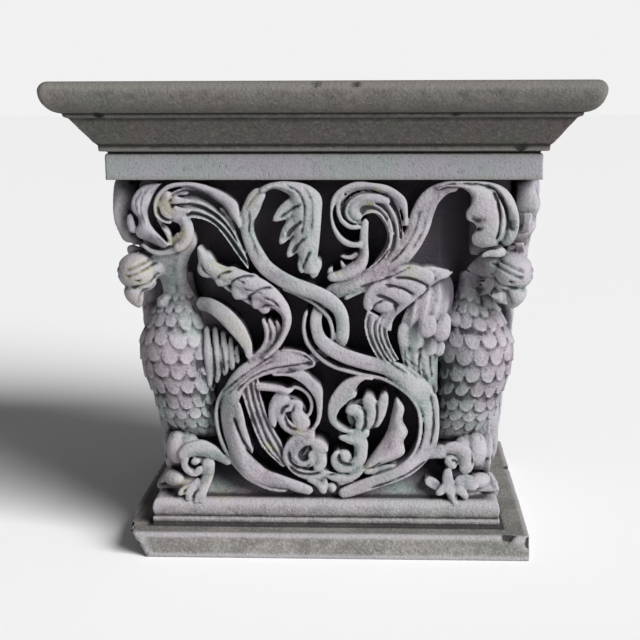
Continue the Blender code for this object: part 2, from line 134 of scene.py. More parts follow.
def smooth_line(points, stations=None, spacing=STATION):
    """A smooth curve through the points, read at even steps along its first two columns."""
    ends = np.vstack([2 * points[0] - points[1], points, 2 * points[-1] - points[-2]])
    t = np.linspace(0.0, 1.0, 12, endpoint=False)[:, None]
    dense = []
    for a, b, c, d in zip(ends, ends[1:], ends[2:], ends[3:]):
        dense.append(0.5 * (2 * b + (c - a) * t + (2 * a - 5 * b + 4 * c - d) * t ** 2
                            + (3 * b - a - 3 * c + d) * t ** 3))
    dense = np.vstack(dense + [points[-1:]])
    steps = np.hypot(*np.diff(dense[:, :2], axis=0).T)
    run = np.concatenate([[0.0], np.cumsum(steps)])
    if stations is None:
        stations = max(4, round(run[-1] / spacing) + 1)
    even = np.linspace(0.0, run[-1], stations)
    return np.column_stack([np.interp(even, run, column) for column in dense.T]), even


def mesh_of(shape, name):
    mesh = bpy.data.meshes.new(name)
    shape.to_mesh(mesh)
    shape.free()
    return mesh


def new_object(name, data):
    item = bpy.data.objects.new(name, data)
    bpy.context.scene.collection.objects.link(item)
    return item


def skin(shells, rings):
    """Add a closed skin through rings of points: a grid drawn out to them, its seam welded."""
    ends = [np.broadcast_to(ring.mean(axis=0), ring.shape)[None] for ring in (rings[0], rings[-1])]
    rings = np.concatenate([ends[0], rings, ends[1]])
    rings = np.concatenate([rings, rings[:, :1]], axis=1)
    rows, columns = rings.shape[:2]
    one = bmesh.new()
    made = bmesh.ops.create_grid(one, x_segments=columns - 1, y_segments=rows - 1, size=1.0)
    verts = made["verts"]
    for vert, point in zip(verts, rings.reshape(-1, 3)):
        vert.co = point
    seam = verts[:columns] + verts[-columns:] + verts[::columns] + verts[columns - 1::columns]
    bmesh.ops.remove_doubles(one, verts=list(dict.fromkeys(seam)), dist=1e-7)
    patch = mesh_of(one, "patch")
    shells.from_mesh(patch)
    bpy.data.meshes.remove(patch)


# The section of a stroke: its front's angles, how its undercut back narrows and drops, and
# the thinnest web in millimetres; and how many steps a blade has between two ridges
FRONT_ARC = np.radians(np.linspace(180.0, 0.0, 11))
BACK_SHARES = ((0.95, 0.4), (0.7, 0.9))
THINNEST_WEB = 2.4
BLADE_STEPS = 8


def stroke(shells, points, half, out, crown, web, root=None):
    """A rounded stem, undercut behind and tied to the core by a web. Points: x, z, half, out."""
    line, run = smooth_line(complete(points, half, out))
    x, z, half, out = line.T
    along = np.gradient(line[:, :2], axis=0)
    along /= np.linalg.norm(along, axis=1)[:, None]
    aside = np.column_stack([along[:, 1], -along[:, 0]])
    reach = np.minimum(0.9 * half + 0.01, 0.5 * run[-1])
    from_end = np.minimum(run, run[-1] - run) / reach
    taper = np.sqrt(np.clip(1 - (1 - np.clip(from_end, 0, 1)) ** 2, 0.05, 1))
    top = out - (1 - taper) * crown * half
    rise = crown * half * taper
    width = half * taper
    behind = backing(x, z) if root is None else top - root
    profile = [(math.cos(a) * width, top - rise * (1 - abs(math.sin(a)) ** 0.7))
               for a in FRONT_ARC]
    edge = top - rise
    thin = np.minimum(np.maximum(web * width, THINNEST_WEB), width)
    back = [(share * width, edge - drop * half) for share, drop in BACK_SHARES]
    back += [(thin, edge - 1.4 * half), (thin, np.minimum(behind, edge - 1.5 * half))]
    profile += back + [(-u, w) for u, w in reversed(back)]
    rings = [on_face(x + aside[:, 0] * u, z + aside[:, 1] * u, w) for u, w in profile]
    skin(shells, np.stack(rings, axis=1))


def strokes(shells, text, half=8, out=0, crown=0.75, web=0.45, root=None):
    for points in drawn(text):
        stroke(shells, points, half, out, crown, web, root)


def blade(shells, text, hollows, out=0, thick=7, web=0.55):
    """A leaf drawn by its ridges, hollowed (or raised) between them. Points: x, z, out."""
    ridges = [complete(ridge, out) for ridge in drawn(text)]
    stations = max(round(smooth_line(ridge)[1][-1] / STATION) for ridge in ridges) + 1
    lines = [smooth_line(ridge, stations)[0] for ridge in ridges]
    profile = []
    for first, second, hollow in zip(lines, lines[1:], hollows):
        for step in range(BLADE_STEPS):
            t = step / BLADE_STEPS
            row = first * (1 - t) + second * t
            swell = math.sin(math.pi * t)
            row[:, 2] += hollow * (swell ** 0.7 if hollow > 0 else max(0, swell - 0.2) / 0.8)
            profile.append(row)
    profile.append(lines[-1])
    middle = (lines[0] + lines[-1]) / 2

    def behind(line, share, depth):
        row = middle + (line - middle) * share
        row[:, 2] = depth
        return row

    core_depth = backing(middle[:, 0], middle[:, 1])
    for line, steps_back in ((lines[-1], (0, 1, 2)), (lines[0], (2, 1, 0))):
        for index in steps_back:
            depth = (line[:, 2] - thick, line[:, 2] - 2.4 * thick, core_depth)[index]
            share = (1.0, 0.5 + 0.5 * web, web)[index]
            profile.append(behind(line, share, np.minimum(depth, line[:, 2] - thick)))
    skin(shells, np.stack([on_face(*row.T) for row in profile], axis=1))


def oval(shells, x, z, half_wide, half_high, out=0, crown=0.5, turn=0.0):
    """A rounded boss: its half width and height in the face, turned by so many degrees."""
    along = np.array([math.cos(math.radians(turn)), math.sin(math.radians(turn))]) * half_wide
    ends = [(x + share * along[0], z + share * along[1]) for share in (-1, -0.5, 0, 0.5, 1)]
    stroke(shells, ends, half_high, out, crown, 0.8)


def vines(shells):
    """The two stems that rise from the foot, loop, and cross twice in the knot."""
    strokes(shells, """
    -20,99,7 -40,105,9 -60,111,10 -80,116,12 -100,122,13.5 -122,136,16 -138,156,15.5 -148,182,14
      -155,210,14 -156,236,14.5 -150,262,15 -137,285,15.5 -117,303,16 -92,315,16 -64,320,16.5
      -42,320,14 -26,318,9,-4 -8,328,9,-14 12,339,11,-12 27,354,11,-2 30,380,10.5,2 24,403,11,5
      7,420,12,7 -18,433,12,7 -46,443,12,5 -72,456,12.5,2 -93,473,12.5 -108,498,12 -117,523,10.5
      -119,546,12 -111,566,13.5 -104,581,12.5 -92,593,9""", 8, 0, 0.55, 0.55)
    strokes(shells, """
    22,94,8 42,101,10 62,109,11 90,119,11.5 118,130,12 146,146,12 163,166,11.5 170,190,11
      171,215,11 168,240,13 156,265,18 132,290,18 104,307,14 80,314,12,2 55,321,12,4 30,330,12,6
      8,343,11.5,7 -6,357,10.5,6 -12,375,9.5,2 -12,393,9,-3 -5,410,9,-12 12,428,12,-10 32,439,14,-4
      55,447,14.5,-1 82,460,15 108,478,16.5 130,502,17 146,530,17.5 155,558,17 166,580,15
      188,596,10 210,600,8""", 8, 0, 0.42, 0.55)
    strokes(shells, """
    -62,99 -85,101 -107,109 -130,123 -150,143 -165,167 -174,192 -177.5,217 -176,240 -168,260
      -155,276 -140,292 -124,308;
    -160,268 -140,274 -115,290 -88,300 -58,303 -32,307 -14,313;
    -66,438 -42,428 -20,416 -4,403 8,388 13,370 14,352;
    112,137 130,149 143,163 151,182 154.5,205 153,227 147,246 135,263 119,276 98,288 80,293 62,296
      40,302 18,308 -2,320 -18,336 -28,352 -32,370 -31,388 -27,402;
    32,420 60,433 90,444 118,457 140,473""", 3.1, -3, 1.1, 0.9)
    strokes(shells, """
    -141,250,4 -138,228,7 -133,204,7 -126,182,6 -118,163,2;
    177,262,3 180,235,4 181,205,4 177,178,4 168,155,3""", 6, -1, 0.6)
    blade(shells, """
    -66,338 -48,337 -33,333 -22,325 -14,315;
    -80,322 -62,323 -44,325 -30,322 -16,313""", (-5,), 0)


def corner_spray(shells):
    """The fluted leaf that fans out to the left corner, with its strap, boss and stem."""
    blade(shells, """
    -127,538 -130,552 -133,573 -146,584 -162,593 -182,601 -202,605 -222,605 -240,602 -254,592
      -262,578 -264,564 -261,551 -251,543 -239,540;
    -131,533 -138,547 -145,560 -155,573 -168,583 -184,592 -202,598 -220,599 -236,596 -248,588
      -256,576 -258,562 -254,552 -246,546 -237,543""", (2,), 3, 6)
    blade(shells, """
    -128,536,0 -142,553 -158,575 -182,591 -208,597 -228,593 -240,585;
    -122,490 -132,510 -142,530 -155,548 -170,561 -187,571 -204,575 -222,576 -238,574;
    -119,482 -130,500 -141,518 -155,536 -170,549 -187,558 -204,562 -222,562 -238,560;
    -117,466 -128,481 -140,498 -154,519 -168,536 -182,545 -197,549 -212,549
      -230,546""", (-17, -10, -10), 0, 6)
    strokes(shells, """
    -162,566 -152,556 -143,540 -137,520;
    -240,586 -226,587 -210,588""", 2.6, -6, 1.0)
    strokes(shells, """
    -238,590,5 -247,580,9 -249,568,11 -243,556,11 -232,550,9;
    -236,578,8 -222,577,5 -206,576,3;
    -236,562,9 -222,560,6 -206,561,3""", 9, 2, 0.6)
    blade(shells, """
    -252,603,-10 -270,602,-14 -284,597,-12 -294,587,-7 -299,574,-2 -298,561,-2 -291,551,-7
      -289,541,-7 -294,530,-5 -293,519,-12 -284,513,-18 -270,507,-18 -252,500,-12;
    -251,603,-3 -257,597 -263,589 -269,576,0 -274,562 -273,547 -268,535 -259,524 -250,515
      -241,507""", (6,), 0, 9)
    strokes(shells, "-303,556,4 -302,540,6 -298,525,5", 5, -6, root=14)
    blade(shells, """
    -262,548 -254,534 -247,520 -242,506;
    -250,539 -242,530 -238,518 -238,505""", (3,), -5, 8)
    strokes(shells, """
    -238,552,9,2 -223,550,10 -214,538,10 -214,522,11 -222,507,9 -234,499,6""", 8, 0, 0.8, 0.6)
    strokes(shells, """
    -222,506,7,-1 -238,497,5.4,-3 -256,493,4.4,-6 -272,496,4,-9
      -288,507,3.4,-12""", 8, 0, 0.8, 0.8, root=14)
    blade(shells, """
    -230,526,-6 -250,505,-12 -272,489,-22 -283,470,-34 -266,447,-50 -262,412,-68;
    -216,526,-2 -226,502,-7 -233,482,-16 -238,462,-30 -239,440,-44 -240,412,-62;
    -203,526,-6 -201,508,-12 -214,484,-24 -221,462,-38 -220,440,-50
      -209,410,-68""", (4, 4), 0, 12, 0.95)


def middle_spray(shells):
    """The spiral fluted leaf right of the middle, on its broken stem."""
    blade(shells, """
    131,538 131,556 129,577 118,590 100,600 80,604 60,606 40,603 24,594 14,580 11,562 12,542 18,525
      28,511 42,504 60,503;
    125,538 124,555 115,574 102,586 85,594 68,597 50,595 34,588 22,577 15.5,562 16,545 22,530
      32,518 46,512 60,513""", (1.5,), 2, 6)
    blade(shells, """
    124,520 122,545 116,568 104,584 84,594 64,596 46,592 32,582 24,567 25,551 33,539 46,533 60,534;
    118,505 117,530 112,550 102,569 88,582 70,587 52,583 40,573 35,560 39,549 48,543 60,541;
    76,466 90,479 102,494 109,512 109,530 103,549 92,564 78,572 62,570 50,562 48,553 56,548;
    70,470 84,482 95,495 102,511 102,527 97,542 88,554 76,558 64,554
      58,548""", (-12, -8, -7), 0, 6)
    strokes(shells, "32,590 25,576 24,560 29,546 42,536 58,536", 3.4, 3)
    strokes(shells, "104,574,5 84,580,7 64,578,9 50,568,10 50,556,9 60,550,6", 8, 1, 0.7)
    strokes(shells, "100,500 106,515 106,532 100,546", 2, -1, 1.0)
    strokes(shells, """
    66,548,5,1 64,530,6 63,510,7 63,492,8 58,477,10 44,465,11 26,458,9 6,455,6""", 9, -2, 0.6, 0.7)
    strokes(shells, """
    56,494,5,-4 42,487,4 26,489,2;
    38,464,6,-4 31,473,4 27,482,2;
    52,480,6,-4 44,474,4 36,473,3;
    12,458,6,-6 10,466,4 14,471,3""", 5)


def middle_leaf(shells):
    """The lobed leaf that hangs left of the middle."""
    blade(shells, """
    -98,596 -82,604 -58,607 -32,604 -13,595 -2,578 -3,546 -6,516 -9,486 -7,462,-2;
    -93,588 -78,595 -63,592 -51,583 -46,566 -46,542 -44,516 -40,492 -29,462,-2""", (7,), 0)
    blade(shells, """
    -60,574 -66,556 -54,540 -57,522 -44,506 -34,484;
    -30,580 -26,556 -24,534 -20,514 -16,496 -12,478""", (-2,), -5, 7, 0.8)
    strokes(shells, """
    -26,584,11 -46,570,13 -63,557,11 -78,545,3;
    -24,556,12 -43,541,13 -57,525,10 -68,508,3;
    -22,530,12 -36,515,12 -47,501,9 -56,487,3;
    -18,504,12 -27,489,11 -33,475,8 -34,462,3;
    -10,486,10 -13,470,9 -17,454,5""", 9, 1, 0.6, 0.8)
    oval(shells, -60, 523, 3, 3, 4)


def outer_leaf(shells):
    """The broad leaf rolled towards the right corner, with its two lobes and chipped rim."""
    blade(shells, """
    172,599 190,605 222,607 255,605,-4 276,598,-8 290,585,-8 299,567,-3 303,548,-1 302,528,-5
      297,512,-16 288,503,-26;
    174,598 190,603 222,605 250,602 268,592 281,576 289,558,1 291,541,1 288,522,-4 281,508,-14;
    176,596 190,601 222,603 246,598 261,585 272,568 278,550 279,534 276,518,-3 268,507,-10;
    178,594 192,598 214,596 227,586 229,573 221,559,-2 223,547,-2 234,541 238,532 231,521,-4
      234,508,-8 248,502,-12""", (3, -7, 6), 1)
    strokes(shells, "266,580,5 275,562,4.5 277,542,4.5 274,522,4", 4, 3, 0.8)
    strokes(shells, """
    258,558,14 246,555,14 234,553,11;
    260,530,16 250,518,17 243,512,13;
    250,596,13 256,565,18 259,530,18 256,508,13""", 12, 2, 0.5, 0.8)
    strokes(shells, "246,488,3 258,493,5 272,493,7 285,497,9,-14", 5, -8)


def left_leaf(shells):
    """The acanthus leaf on the left vine, with lobes below and flutes at its foot."""
    blade(shells, """
    -92,322 -76,336 -64,352 -55,370 -51,388 -54,406 -63,422 -76,438 -92,450 -112,460 -135,469
      -156,473 -170,480 -181,493 -194,506;
    -99,326 -84,341 -73,357 -66,376 -67,391 -76,402 -92,412 -112,422 -132,434 -150,445 -167,452
      -183,460 -195,476 -198,503""", (6,), 0)
    blade(shells, """
    -188,490 -170,470 -140,458 -110,446 -84,428 -66,404;
    -186,462 -166,444 -142,426 -120,412 -104,404 -86,402""", (-2,), -6, 7, 0.8)
    strokes(shells, """
    -186,496,6 -184,480,14 -182,466,18 -178,455,13;
    -132,462,12 -148,459,13 -160,451,12 -166,441,7;
    -98,448,14 -118,444,17 -132,432,16 -140,420,8;
    -72,432,14 -90,424,17 -102,415,15 -112,406,7;
    -84,406,8 -96,405,9 -104,404,6""", 12, 2, 0.5, 0.8)
    strokes(shells, """
    -98,388,2 -92,374,4 -91,357,4 -97,341,4 -109,328,4 -123,317;
    -88,388,2 -82,374,4 -81,359,4 -87,343,4 -99,330,4 -112,320;
    -76,386,2 -71.5,373,4 -72,359,4 -79,343,4 -91,330,4 -103,320""", 4, -2, 1.3, 0.9)
    blade(shells, """
    -122,312 -106,328 -99,342 -96,358 -98,378;
    -80,330 -72,342 -68,360 -72,384""", (-2,), -15)


def right_leaf(shells):
    """The acanthus leaf on the right vine: a fluted stalk and puffed lobes."""
    blade(shells, """
    94,316 81,331 71,350 65,370 64,386 69,402;
    100,318 88,336 79,356 75,374 78,386;
    106,319 94,338 86,358 84,376 88,390;
    112,320 100,340 92,360 91,378 98,392;
    119,322 108,342 101,362 101,376 110,389""", (-4.5, -4.5, -4.5, -4.5), 1)
    blade(shells, """
    82,384 95,399 116,411 134,424 150,438,-4 172,452,-10 202,463,-24;
    106,368 110,387 124,402 142,418 160,434,-6 182,450,-16 204,460,-28""", (3,), -3)
    blade(shells, """
    70,408 78,432 96,450 122,460 152,464 196,463,-22;
    92,396 108,406 128,418 148,432 170,446,-12 200,458,-24""", (-2,), -5, 7, 0.8)
    strokes(shells, """
    72,424,10 86,419,14 99,411,15 108,402,10;
    86,438,13 104,434,17 122,426,17 136,417,10;
    100,456,10 122,450,15 142,442,16 158,432,11;
    112,464,7 134,464,12 154,458,14 172,449,12;
    150,466,6 168,463,10,-4 184,460,9,-12 200,460,5,-20;
    70,402,6 72,420,10 84,438,12 102,452,12""", 12, 2, 0.5, 0.8)


def wings(shells):
    """The wing of each corner bird on this face, with its layers of feathers."""
    strokes(shells, """
    -206,408,10,-30 -190,408,12,-22 -175,404,12.5,-13 -158,392,13,-6 -142,376,13,-1 -130,359,11,0
      -122,341,8 -120,322,4""", 9, 0, 0.32, 0.7)
    blade(shells, """
    -200,402 -178,394 -160,380 -145,364 -134,345 -128,326;
    -196,360 -186,356 -174,350 -162,342 -152,332 -140,318""", (-4,), -36)
    strokes(shells, """
    -190,372,4,-24 -188,325,7,-16 -187,296,7 -188,268,3;
    -176,372,4,-24 -174,325,6.5,-15 -173,300,6 -176,276,3;
    -163,366,4,-22 -161,325,5.5,-14 -160,304,5 -163,290,3;
    -151,356,3,-20 -149,315,4.5,-13 -149,300,3;
    -141,342,2.5,-18 -139,312,3.5,-12""", 6, -14, 0.9, 0.9)
    strokes(shells, """
    -129,268 -125,243 -118,215 -110,190 -100,168;
    -123,268 -119,246 -112,220 -104,196 -94,172""", 2.4, -15, 1.2, 0.9)
    blade(shells, """
    194,458,-52 204,442,-50 206,420,-44 202,400,-36 196,386,-28;
    190,458,-44 196,442,-38 198,420,-30 194,402,-20 188,388,-14;
    180,456,-34 182,440,-24 182,420,-15 178,404,-7 174,386,-4;
    170,450,-28 165,432,-13 162,414,-5 159,398,-1 156,382,-2;
    158,442,-26 148,424,-9 142,406,-2 139,390,-1 137,376,-5;
    150,432,-28 134,410,-14 126,394,-10 122,380,-10
      121,366,-14""", (-1, -1.5, -2, -2, -1.5), -6, 8, 0.9)
    strokes(shells, """
    128,382,9,-6 127,360,11 128,340,8;
    146,390,10,-5 146,364,13.5 145,338,10;
    167,366,12,-8 166,346,13.5 165,326,10;
    164,398,11,-2 164,378,13.5 163,358,10;
    188,398,12,-16 186,374,14.5,-6 185,351,11;
    184,352,8,-12 183,340,9 182,326,6;
    204,398,9,-30 208,384,9,-24 211,372,6""", 10, -3, 0.3, 0.9)
    blade(shells, """
    117,352,-12 123,325 132,300 148,280;
    134,345,-10 138,322 146,300 160,280;
    152,336,-10 154,315 160,296 170,272;
    168,330,-12 169,310 171,290 176,262;
    182,330,-22 181,310 181,290 182,262""", (3, 3, 3, 2), -9, 8, 0.8)


def left_loop(shells):
    """The curled stem and leaves inside the left loop."""
    blade(shells, """
    -84,297 -58,299 -33,302 -17,289 -4,275 -3,256 -4,236 -8,218 -17,204 -28,194;
    -80,295 -58,294 -42,287 -27,274 -16,258 -12,240 -13,222 -20,209 -34,201 -46,199""", (1,), 0)
    strokes(shells, "-52,276 -36,271 -25,260 -21,246 -24,232 -33,223", 3, -5, 1.0)
    blade(shells, "-110,282 -90,280 -70,277 -50,270; -108,270 -92,269 -76,267 -62,262", (3,), -3)
    oval(shells, -56, 232, 26, 26, -12, 0.3, 60)
    strokes(shells, """
    -81,208,2 -83,222,7 -79,240,11 -69,252,12 -56,256,10;
    -72,242,5 -68,222,8 -59,209,9 -44,203,9 -28,207,7;
    -70,236,6 -58,243,9 -45,244,11 -36,238,8;
    -48,240,9 -42,226,12 -36,217,12 -24,212,8""", 8, 0, 0.5, 0.9)
    strokes(shells, "-90,238,2 -81,257,3.5 -66,269,3.5 -50,272,3", 3, -4)
    blade(shells, """
    -134,284 -131,258 -124,232 -116,206 -106,182 -94,164 -80,150 -68,138;
    -124,286 -121,260 -115,234 -107,208 -98,184 -87,166 -75,152 -66,141;
    -115,288 -112,262 -106,236 -98,212 -89,190 -79,172 -71,156 -64,144;
    -107,290 -104,264 -98,240 -90,218 -80,197 -71,180 -66,162 -62,147""", (-4, -4, -4), -5, 8, 0.8)
    oval(shells, -34, 158, 28, 28, -9, 0.3)
    strokes(shells, """
    -18,202,9 -30,193,10 -46,188,8 -58,177,6.5 -63,162,6 -59,147,6 -47,134,7 -28,127,8 -8,127,8
      6,133,4;
    -18,188,8 -36,183,8 -48,172,8 -50,158,7 -42,147,6 -29,146,6 -20,155,7 -24,168,6;
    -22,184,9 -8,176,10 5,168,4;
    -20,172,9 -8,160,10 -7,145,9 -18,136,7;
    -30,122,5 -16,116,6 -7,107,6 -4,95,4""", 8, 0, 0.5, 0.9)


def right_loop(shells):
    """The curled stem and leaves inside the right loop."""
    blade(shells, """
    78,291 60,294 44,292 29,285 17,271 8,254 5,236 8,219 17,208 30,201 46,200;
    76,289 64,289 54,280 46,266 37,252 25,240 19,228 21,218 29,211 42,204""", (2,), 0)
    strokes(shells, "26,254,9 38,262,8 52,266,4", 8, 0, 0.4)
    oval(shells, 60, 228, 26, 22, -12, 0.3, 60)
    strokes(shells, """
    34,235,8 46,238,10 56,231,11 60,216,11 52,204,9;
    66,264,8 74,246,12 76,228,12 66,206,10;
    97,267,6 93,248,8.5 88,230,9 77,209,8;
    36,202,6 56,197,9 72,203,8""", 8, 0, 0.5, 0.9)
    strokes(shells, """
    22,193,3 42,189,9 56,186,12 58,170,11 56,155,10 45,142,9 30,138,8 18,145,7 15,158,6 22,169,4;
    -1,134,4 12,125,7 32,122,7 50,129,7 62,142,5""", 8, 0, 0.5)
    oval(shells, 30, 157, 13, 13, -2, 0.6)
    blade(shells, """
    113,258 110,240 105,220 100,201 91,184 80,168 70,153 60,138;
    118,257 128,240 125,220 134,200 127,184 129,166 118,156 98,148 64,136""", (9,), -7)
    strokes(shells, "62,131,4 80,134,6 100,138,6 114,143,4", 5, -7)


def feet(shells):
    """The vines' foot stems, and the legs and claws of the corner birds on the step."""
    strokes(shells, """
    -2,124,5 -1,110,5 -3,94,4;
    4,104,9 18,106,9;
    20,112,5 34,118,5 48,122,5""", 5, -2)
    strokes(shells, """
    -240,148,8 -226,162,12 -206,167,14 -188,162,12 -172,152,8 -156,142,4;
    -208,160,16,-6 -200,148,16 -196,140,10;
    -229,154,6 -232,139,6 -225,127,6 -212,125,6 -204,136,5;
    -215,150,8 -213,138,8;
    -192,150,11 -193,125,10 -199,106,9 -203,90,8 -203,75,6;
    -205,114,7 -218,104,7 -234,97,6 -241,90,3;
    -208,104,7 -221,94,6.5 -226,80,4;
    -206,98,7 -212,88,6.5 -213,75,4""", 8, 1, 0.5)
    strokes(shells, """
    192,168,9,-2 212,169,12 226,158,14 230,142,12 225,126,9;
    162,158,7,-2 180,163,11 200,164,12;
    197,156,8 206,144,10 203,135,7;
    200,136,6 199,118,9 204,102,9 208,86,7 213,76,4;
    210,112,9,-3 230,113,11 250,108,9;
    214,108,7 224,98,7 231,88,4;
    200,112,7 190,102,7 180,95,4;
    162,116,7,-8 178,109,8 190,100,6""", 8, 0, 0.5)


# Lines cut in the face after its strokes are fused: half width and depth, then the points
CUTS = """
    2.2,6 -147,222 -141,205 -132,184 -119,163; 1.6,2.5 -168,262 -140,287 -112,307 -88,325;
    1.6,2 -156,262 -128,290 -104,308 -80,320; 1.8,3.5 -142,268 -118,290 -90,304 -50,312 -24,316;
    1.5,2.5 -115,560 -114,545 -115,530 -110,512; 1.4,1.5 -122,556 -112,575 -100,588;
    1.4,1.5 -100,486 -106,502 -112,520; 1.5,2 150,292 120,318 98,340;
    1.5,2 160,300 132,322 112,342; 1.8,3.5 170,262 174,235 175,205 170,178;
    1.8,3.5 165,150 130,129 100,115 72,105; 1.4,2 130,300 108,316 92,330;
    1.6,2 150,560 142,530 126,502 104,478; 1.4,1.6 160,548 152,524 138,500;
    1.5,2 146,590 140,570; 1.5,2 -283,590 -292,575 -289,560;
    1.6,1.8 -272,596 -281,582 -284,562 -280,543; 1.4,1.5 -262,520 -254,512 -246,506;
    3,6 -256,541 -247,534 -238,537; 2,5 -258,566 -255,555 -246,547 -238,546;
    1.8,2.6 -56,601 -38,590 -29,570 -30,545 -33,525; 1.4,1.5 -30,600 -18,580 -16,555 -18,530;
    2.6,5 -66,550 -50,562 -34,572; 2.6,5 -58,518 -46,534 -32,546; 2.4,4 -48,494 -38,509 -27,520;
    2.2,4 -32,470 -26,486 -20,498; 2.2,5 -120,418 -114,428 -98,437 -82,440;
    2.2,5 -148,438 -143,449 -126,457 -108,458; 2,4 -168,453 -160,461 -144,466;
    1.8,3 -95,424 -80,418 -70,408; 1.8,2.5 -125,437 -108,433 -95,430;
    1.8,2.5 -150,452 -136,452 -122,446; 1.6,2 -104,405 -90,410 -76,410;
    1.6,2 -192,478 -186,465 -176,458; 1.8,4 76,406 84,414 100,420 112,410 113,402;
    1.8,4 84,428 104,420 116,412; 2,4.5 98,444 124,438 142,428;
    2,4.5 110,456 136,454 160,444 164,434; 1.6,3 60,441 84,449 112,460 138,474;
    2,6 262,592 270,572 273,550 272,530 268,514; 2.4,6 250,603 268,591 280,571 286,550 285,530;
    6,8 292,549 291,538 294,527; 2.6,9 244,533 236,531 228,530; 4,3 228,552 236,547 246,546;
    2,3 256,506 252,498; 3.5,8 270,513 277,507 284,505; 2.2,6 -222,146 -223,136 -217,128;
    2,5 -209,100 -215,92 -217,80; 2,5 -226,103 -234,93; 2,5 204,152 212,148 214,138;
    2,5 238,178 238,160 240,142; 2.2,5 194,98 200,88 205,80; 2,5 212,98 213,86;
    2.6,7 -30,176 -37,166 -41,160; 2,5 -58,166 -56,152 -47,142 -34,140 -24,146;
    1.8,4 -58,143 -44,132 -26,129 -8,132; 2.4,5 -63,230 -62,218 -54,208 -44,205;
    2,5 -58,246 -66,240 -70,230; 1.8,3 -48,247 -52,236 -58,230; 1.4,2.5 -54,160 -50,150 -42,146;
    2,5 64,228 65,214 60,204; 2,5 83,250 84,232 80,214 72,204; 2,4 52,245 62,238 66,226;
    2.2,5 22,166 24,154 32,147 44,146; 2,5 44,178 49,166 44,158; 2,5 60,139 76,141 90,150;
    2,4 4,128 20,130 40,130; 1.5,4 -180,346 -178,315 -178,285; 1.4,3 -165,340 -163,312 -162,296;
    1.5,3 127,336 129,318 134,304; 1.5,3 152,332 150,312 153,294; 1.5,3 168,328 169,308 172,290"""


def cut_lines(mesh):
    """Cut the fine lines of the leaves and stems into the fused face."""
    points = points_of(mesh)
    x, z = points[:, 0] / MM, points[:, 2] / MM
    out = -points[:, 1] / MM - face_out(x, z)
    sink = np.zeros(len(points))
    shallow = out > -22
    for (half, depth), *line in drawn(CUTS):
        track, run = smooth_line(np.array(line), spacing=1.5)
        low, high = track.min(axis=0) - 3 * half, track.max(axis=0) + 3 * half
        near = np.where(shallow & (x > low[0]) & (x < high[0]) & (z > low[1]) & (z < high[1]))[0]
        if not len(near):
            continue
        gap = (x[near, None] - track[None, :, 0]) ** 2 + (z[near, None] - track[None, :, 1]) ** 2
        nearest = gap.argmin(axis=1)
        from_end = np.minimum(run, run[-1] - run)[nearest] / 8
        fade = np.clip(0.35 + from_end, 0, 1)
        cut = depth * fade * np.exp(-gap.min(axis=1) / half ** 2)
        sink[near] = np.maximum(sink[near], cut)
    points[:, 1] += sink * MM
    set_points(mesh, points)


def fuse(shells, name, triangles, finish):
    """Fuse overlapping closed skins in one, ease and finish it, and thin it."""
    item = new_object(name, mesh_of(shells, name))
    one_skin = item.modifiers.new("one_skin", "REMESH")
    one_skin.mode = "VOXEL"
    one_skin.voxel_size = GRAIN
    ease = item.modifiers.new("ease", "SMOOTH")
    ease.factor = 0.5
    ease.iterations = 2
    mesh = apply_modifiers(item)
    finish(mesh)
    thin = item.modifiers.new("thin", "DECIMATE")
    thin.ratio = min(1.0, triangles / (2 * len(mesh.polygons)))
    mesh = apply_modifiers(item)
    bpy.data.objects.remove(item)
    drop_pockets(mesh)
    return mesh


def drop_pockets(mesh):
    """Take out pairs of faces on the same corners, which the thinning folds flat."""
    solid = bmesh.new()
    solid.from_mesh(mesh)
    pairs = {}
    for face in solid.faces:
        pairs.setdefault(frozenset(corner.index for corner in face.verts), []).append(face)
    folded = [face for faces in pairs.values() if len(faces) > 1 for face in faces]
    bmesh.ops.delete(solid, geom=folded, context="FACES")
    solid.to_mesh(mesh)
    solid.free()


def apply_modifiers(item):
    evaluated = item.evaluated_get(bpy.context.evaluated_depsgraph_get())
    item.data = bpy.data.meshes.new_from_object(evaluated)
    item.modifiers.clear()
    return item.data


def points_of(mesh):
    points = np.empty(len(mesh.vertices) * 3, np.float32)
    mesh.vertices.foreach_get("co", points)
    return points.reshape(-1, 3).astype(float)


def normals_of(mesh):
    normals = np.empty(len(mesh.vertices) * 3, np.float32)
    mesh.vertex_normals.foreach_get("vector", normals)
    return normals.reshape(-1, 3).astype(float)


def set_points(mesh, points):
    mesh.vertices.foreach_set("co", points.astype(np.float32).ravel())
    mesh.update()


def store(mesh, name, values):
    layer = mesh.attributes.new(name, "FLOAT", "POINT")
    layer.data.foreach_set("value", values.astype(np.float32))


def face_carving():
    shells = bmesh.new()
    for carve in (vines, corner_spray, middle_spray, middle_leaf, outer_leaf, left_leaf,
                  right_leaf, wings, left_loop, right_loop, feet):
        carve(shells)
    return fuse(shells, "face_carving", FACE_TRIANGLES, cut_lines)


def corner_rings(rows, columns=28):
    """Rings across the right front corner's diagonal: out, z, reach, width, lean."""
    line, _ = smooth_line(np.array(rows, float), len(rows) * 5)
    out, z, reach, width, lean = (column[:, None] for column in line.T)
    turn = np.linspace(0.0, math.tau, columns, endpoint=False)[None, :]
    forward = reach * np.cos(turn)
    along = out + forward * np.cos(np.radians(lean)) / math.sqrt(2.0)
    aside = width * np.sin(turn) / math.sqrt(2.0)
    height = z + forward * np.sin(np.radians(lean))
    return np.stack([along + aside, aside - along, height + 0 * aside], axis=-1) * MM


def diagonal_places(points):
    """Millimetres out along the right front corner's diagonal, aside from it, and up."""
    return ((points[:, 0] - points[:, 1]) / 2 / MM,
            (points[:, 0] + points[:, 1]) / math.sqrt(2.0) / MM, points[:, 2] / MM)


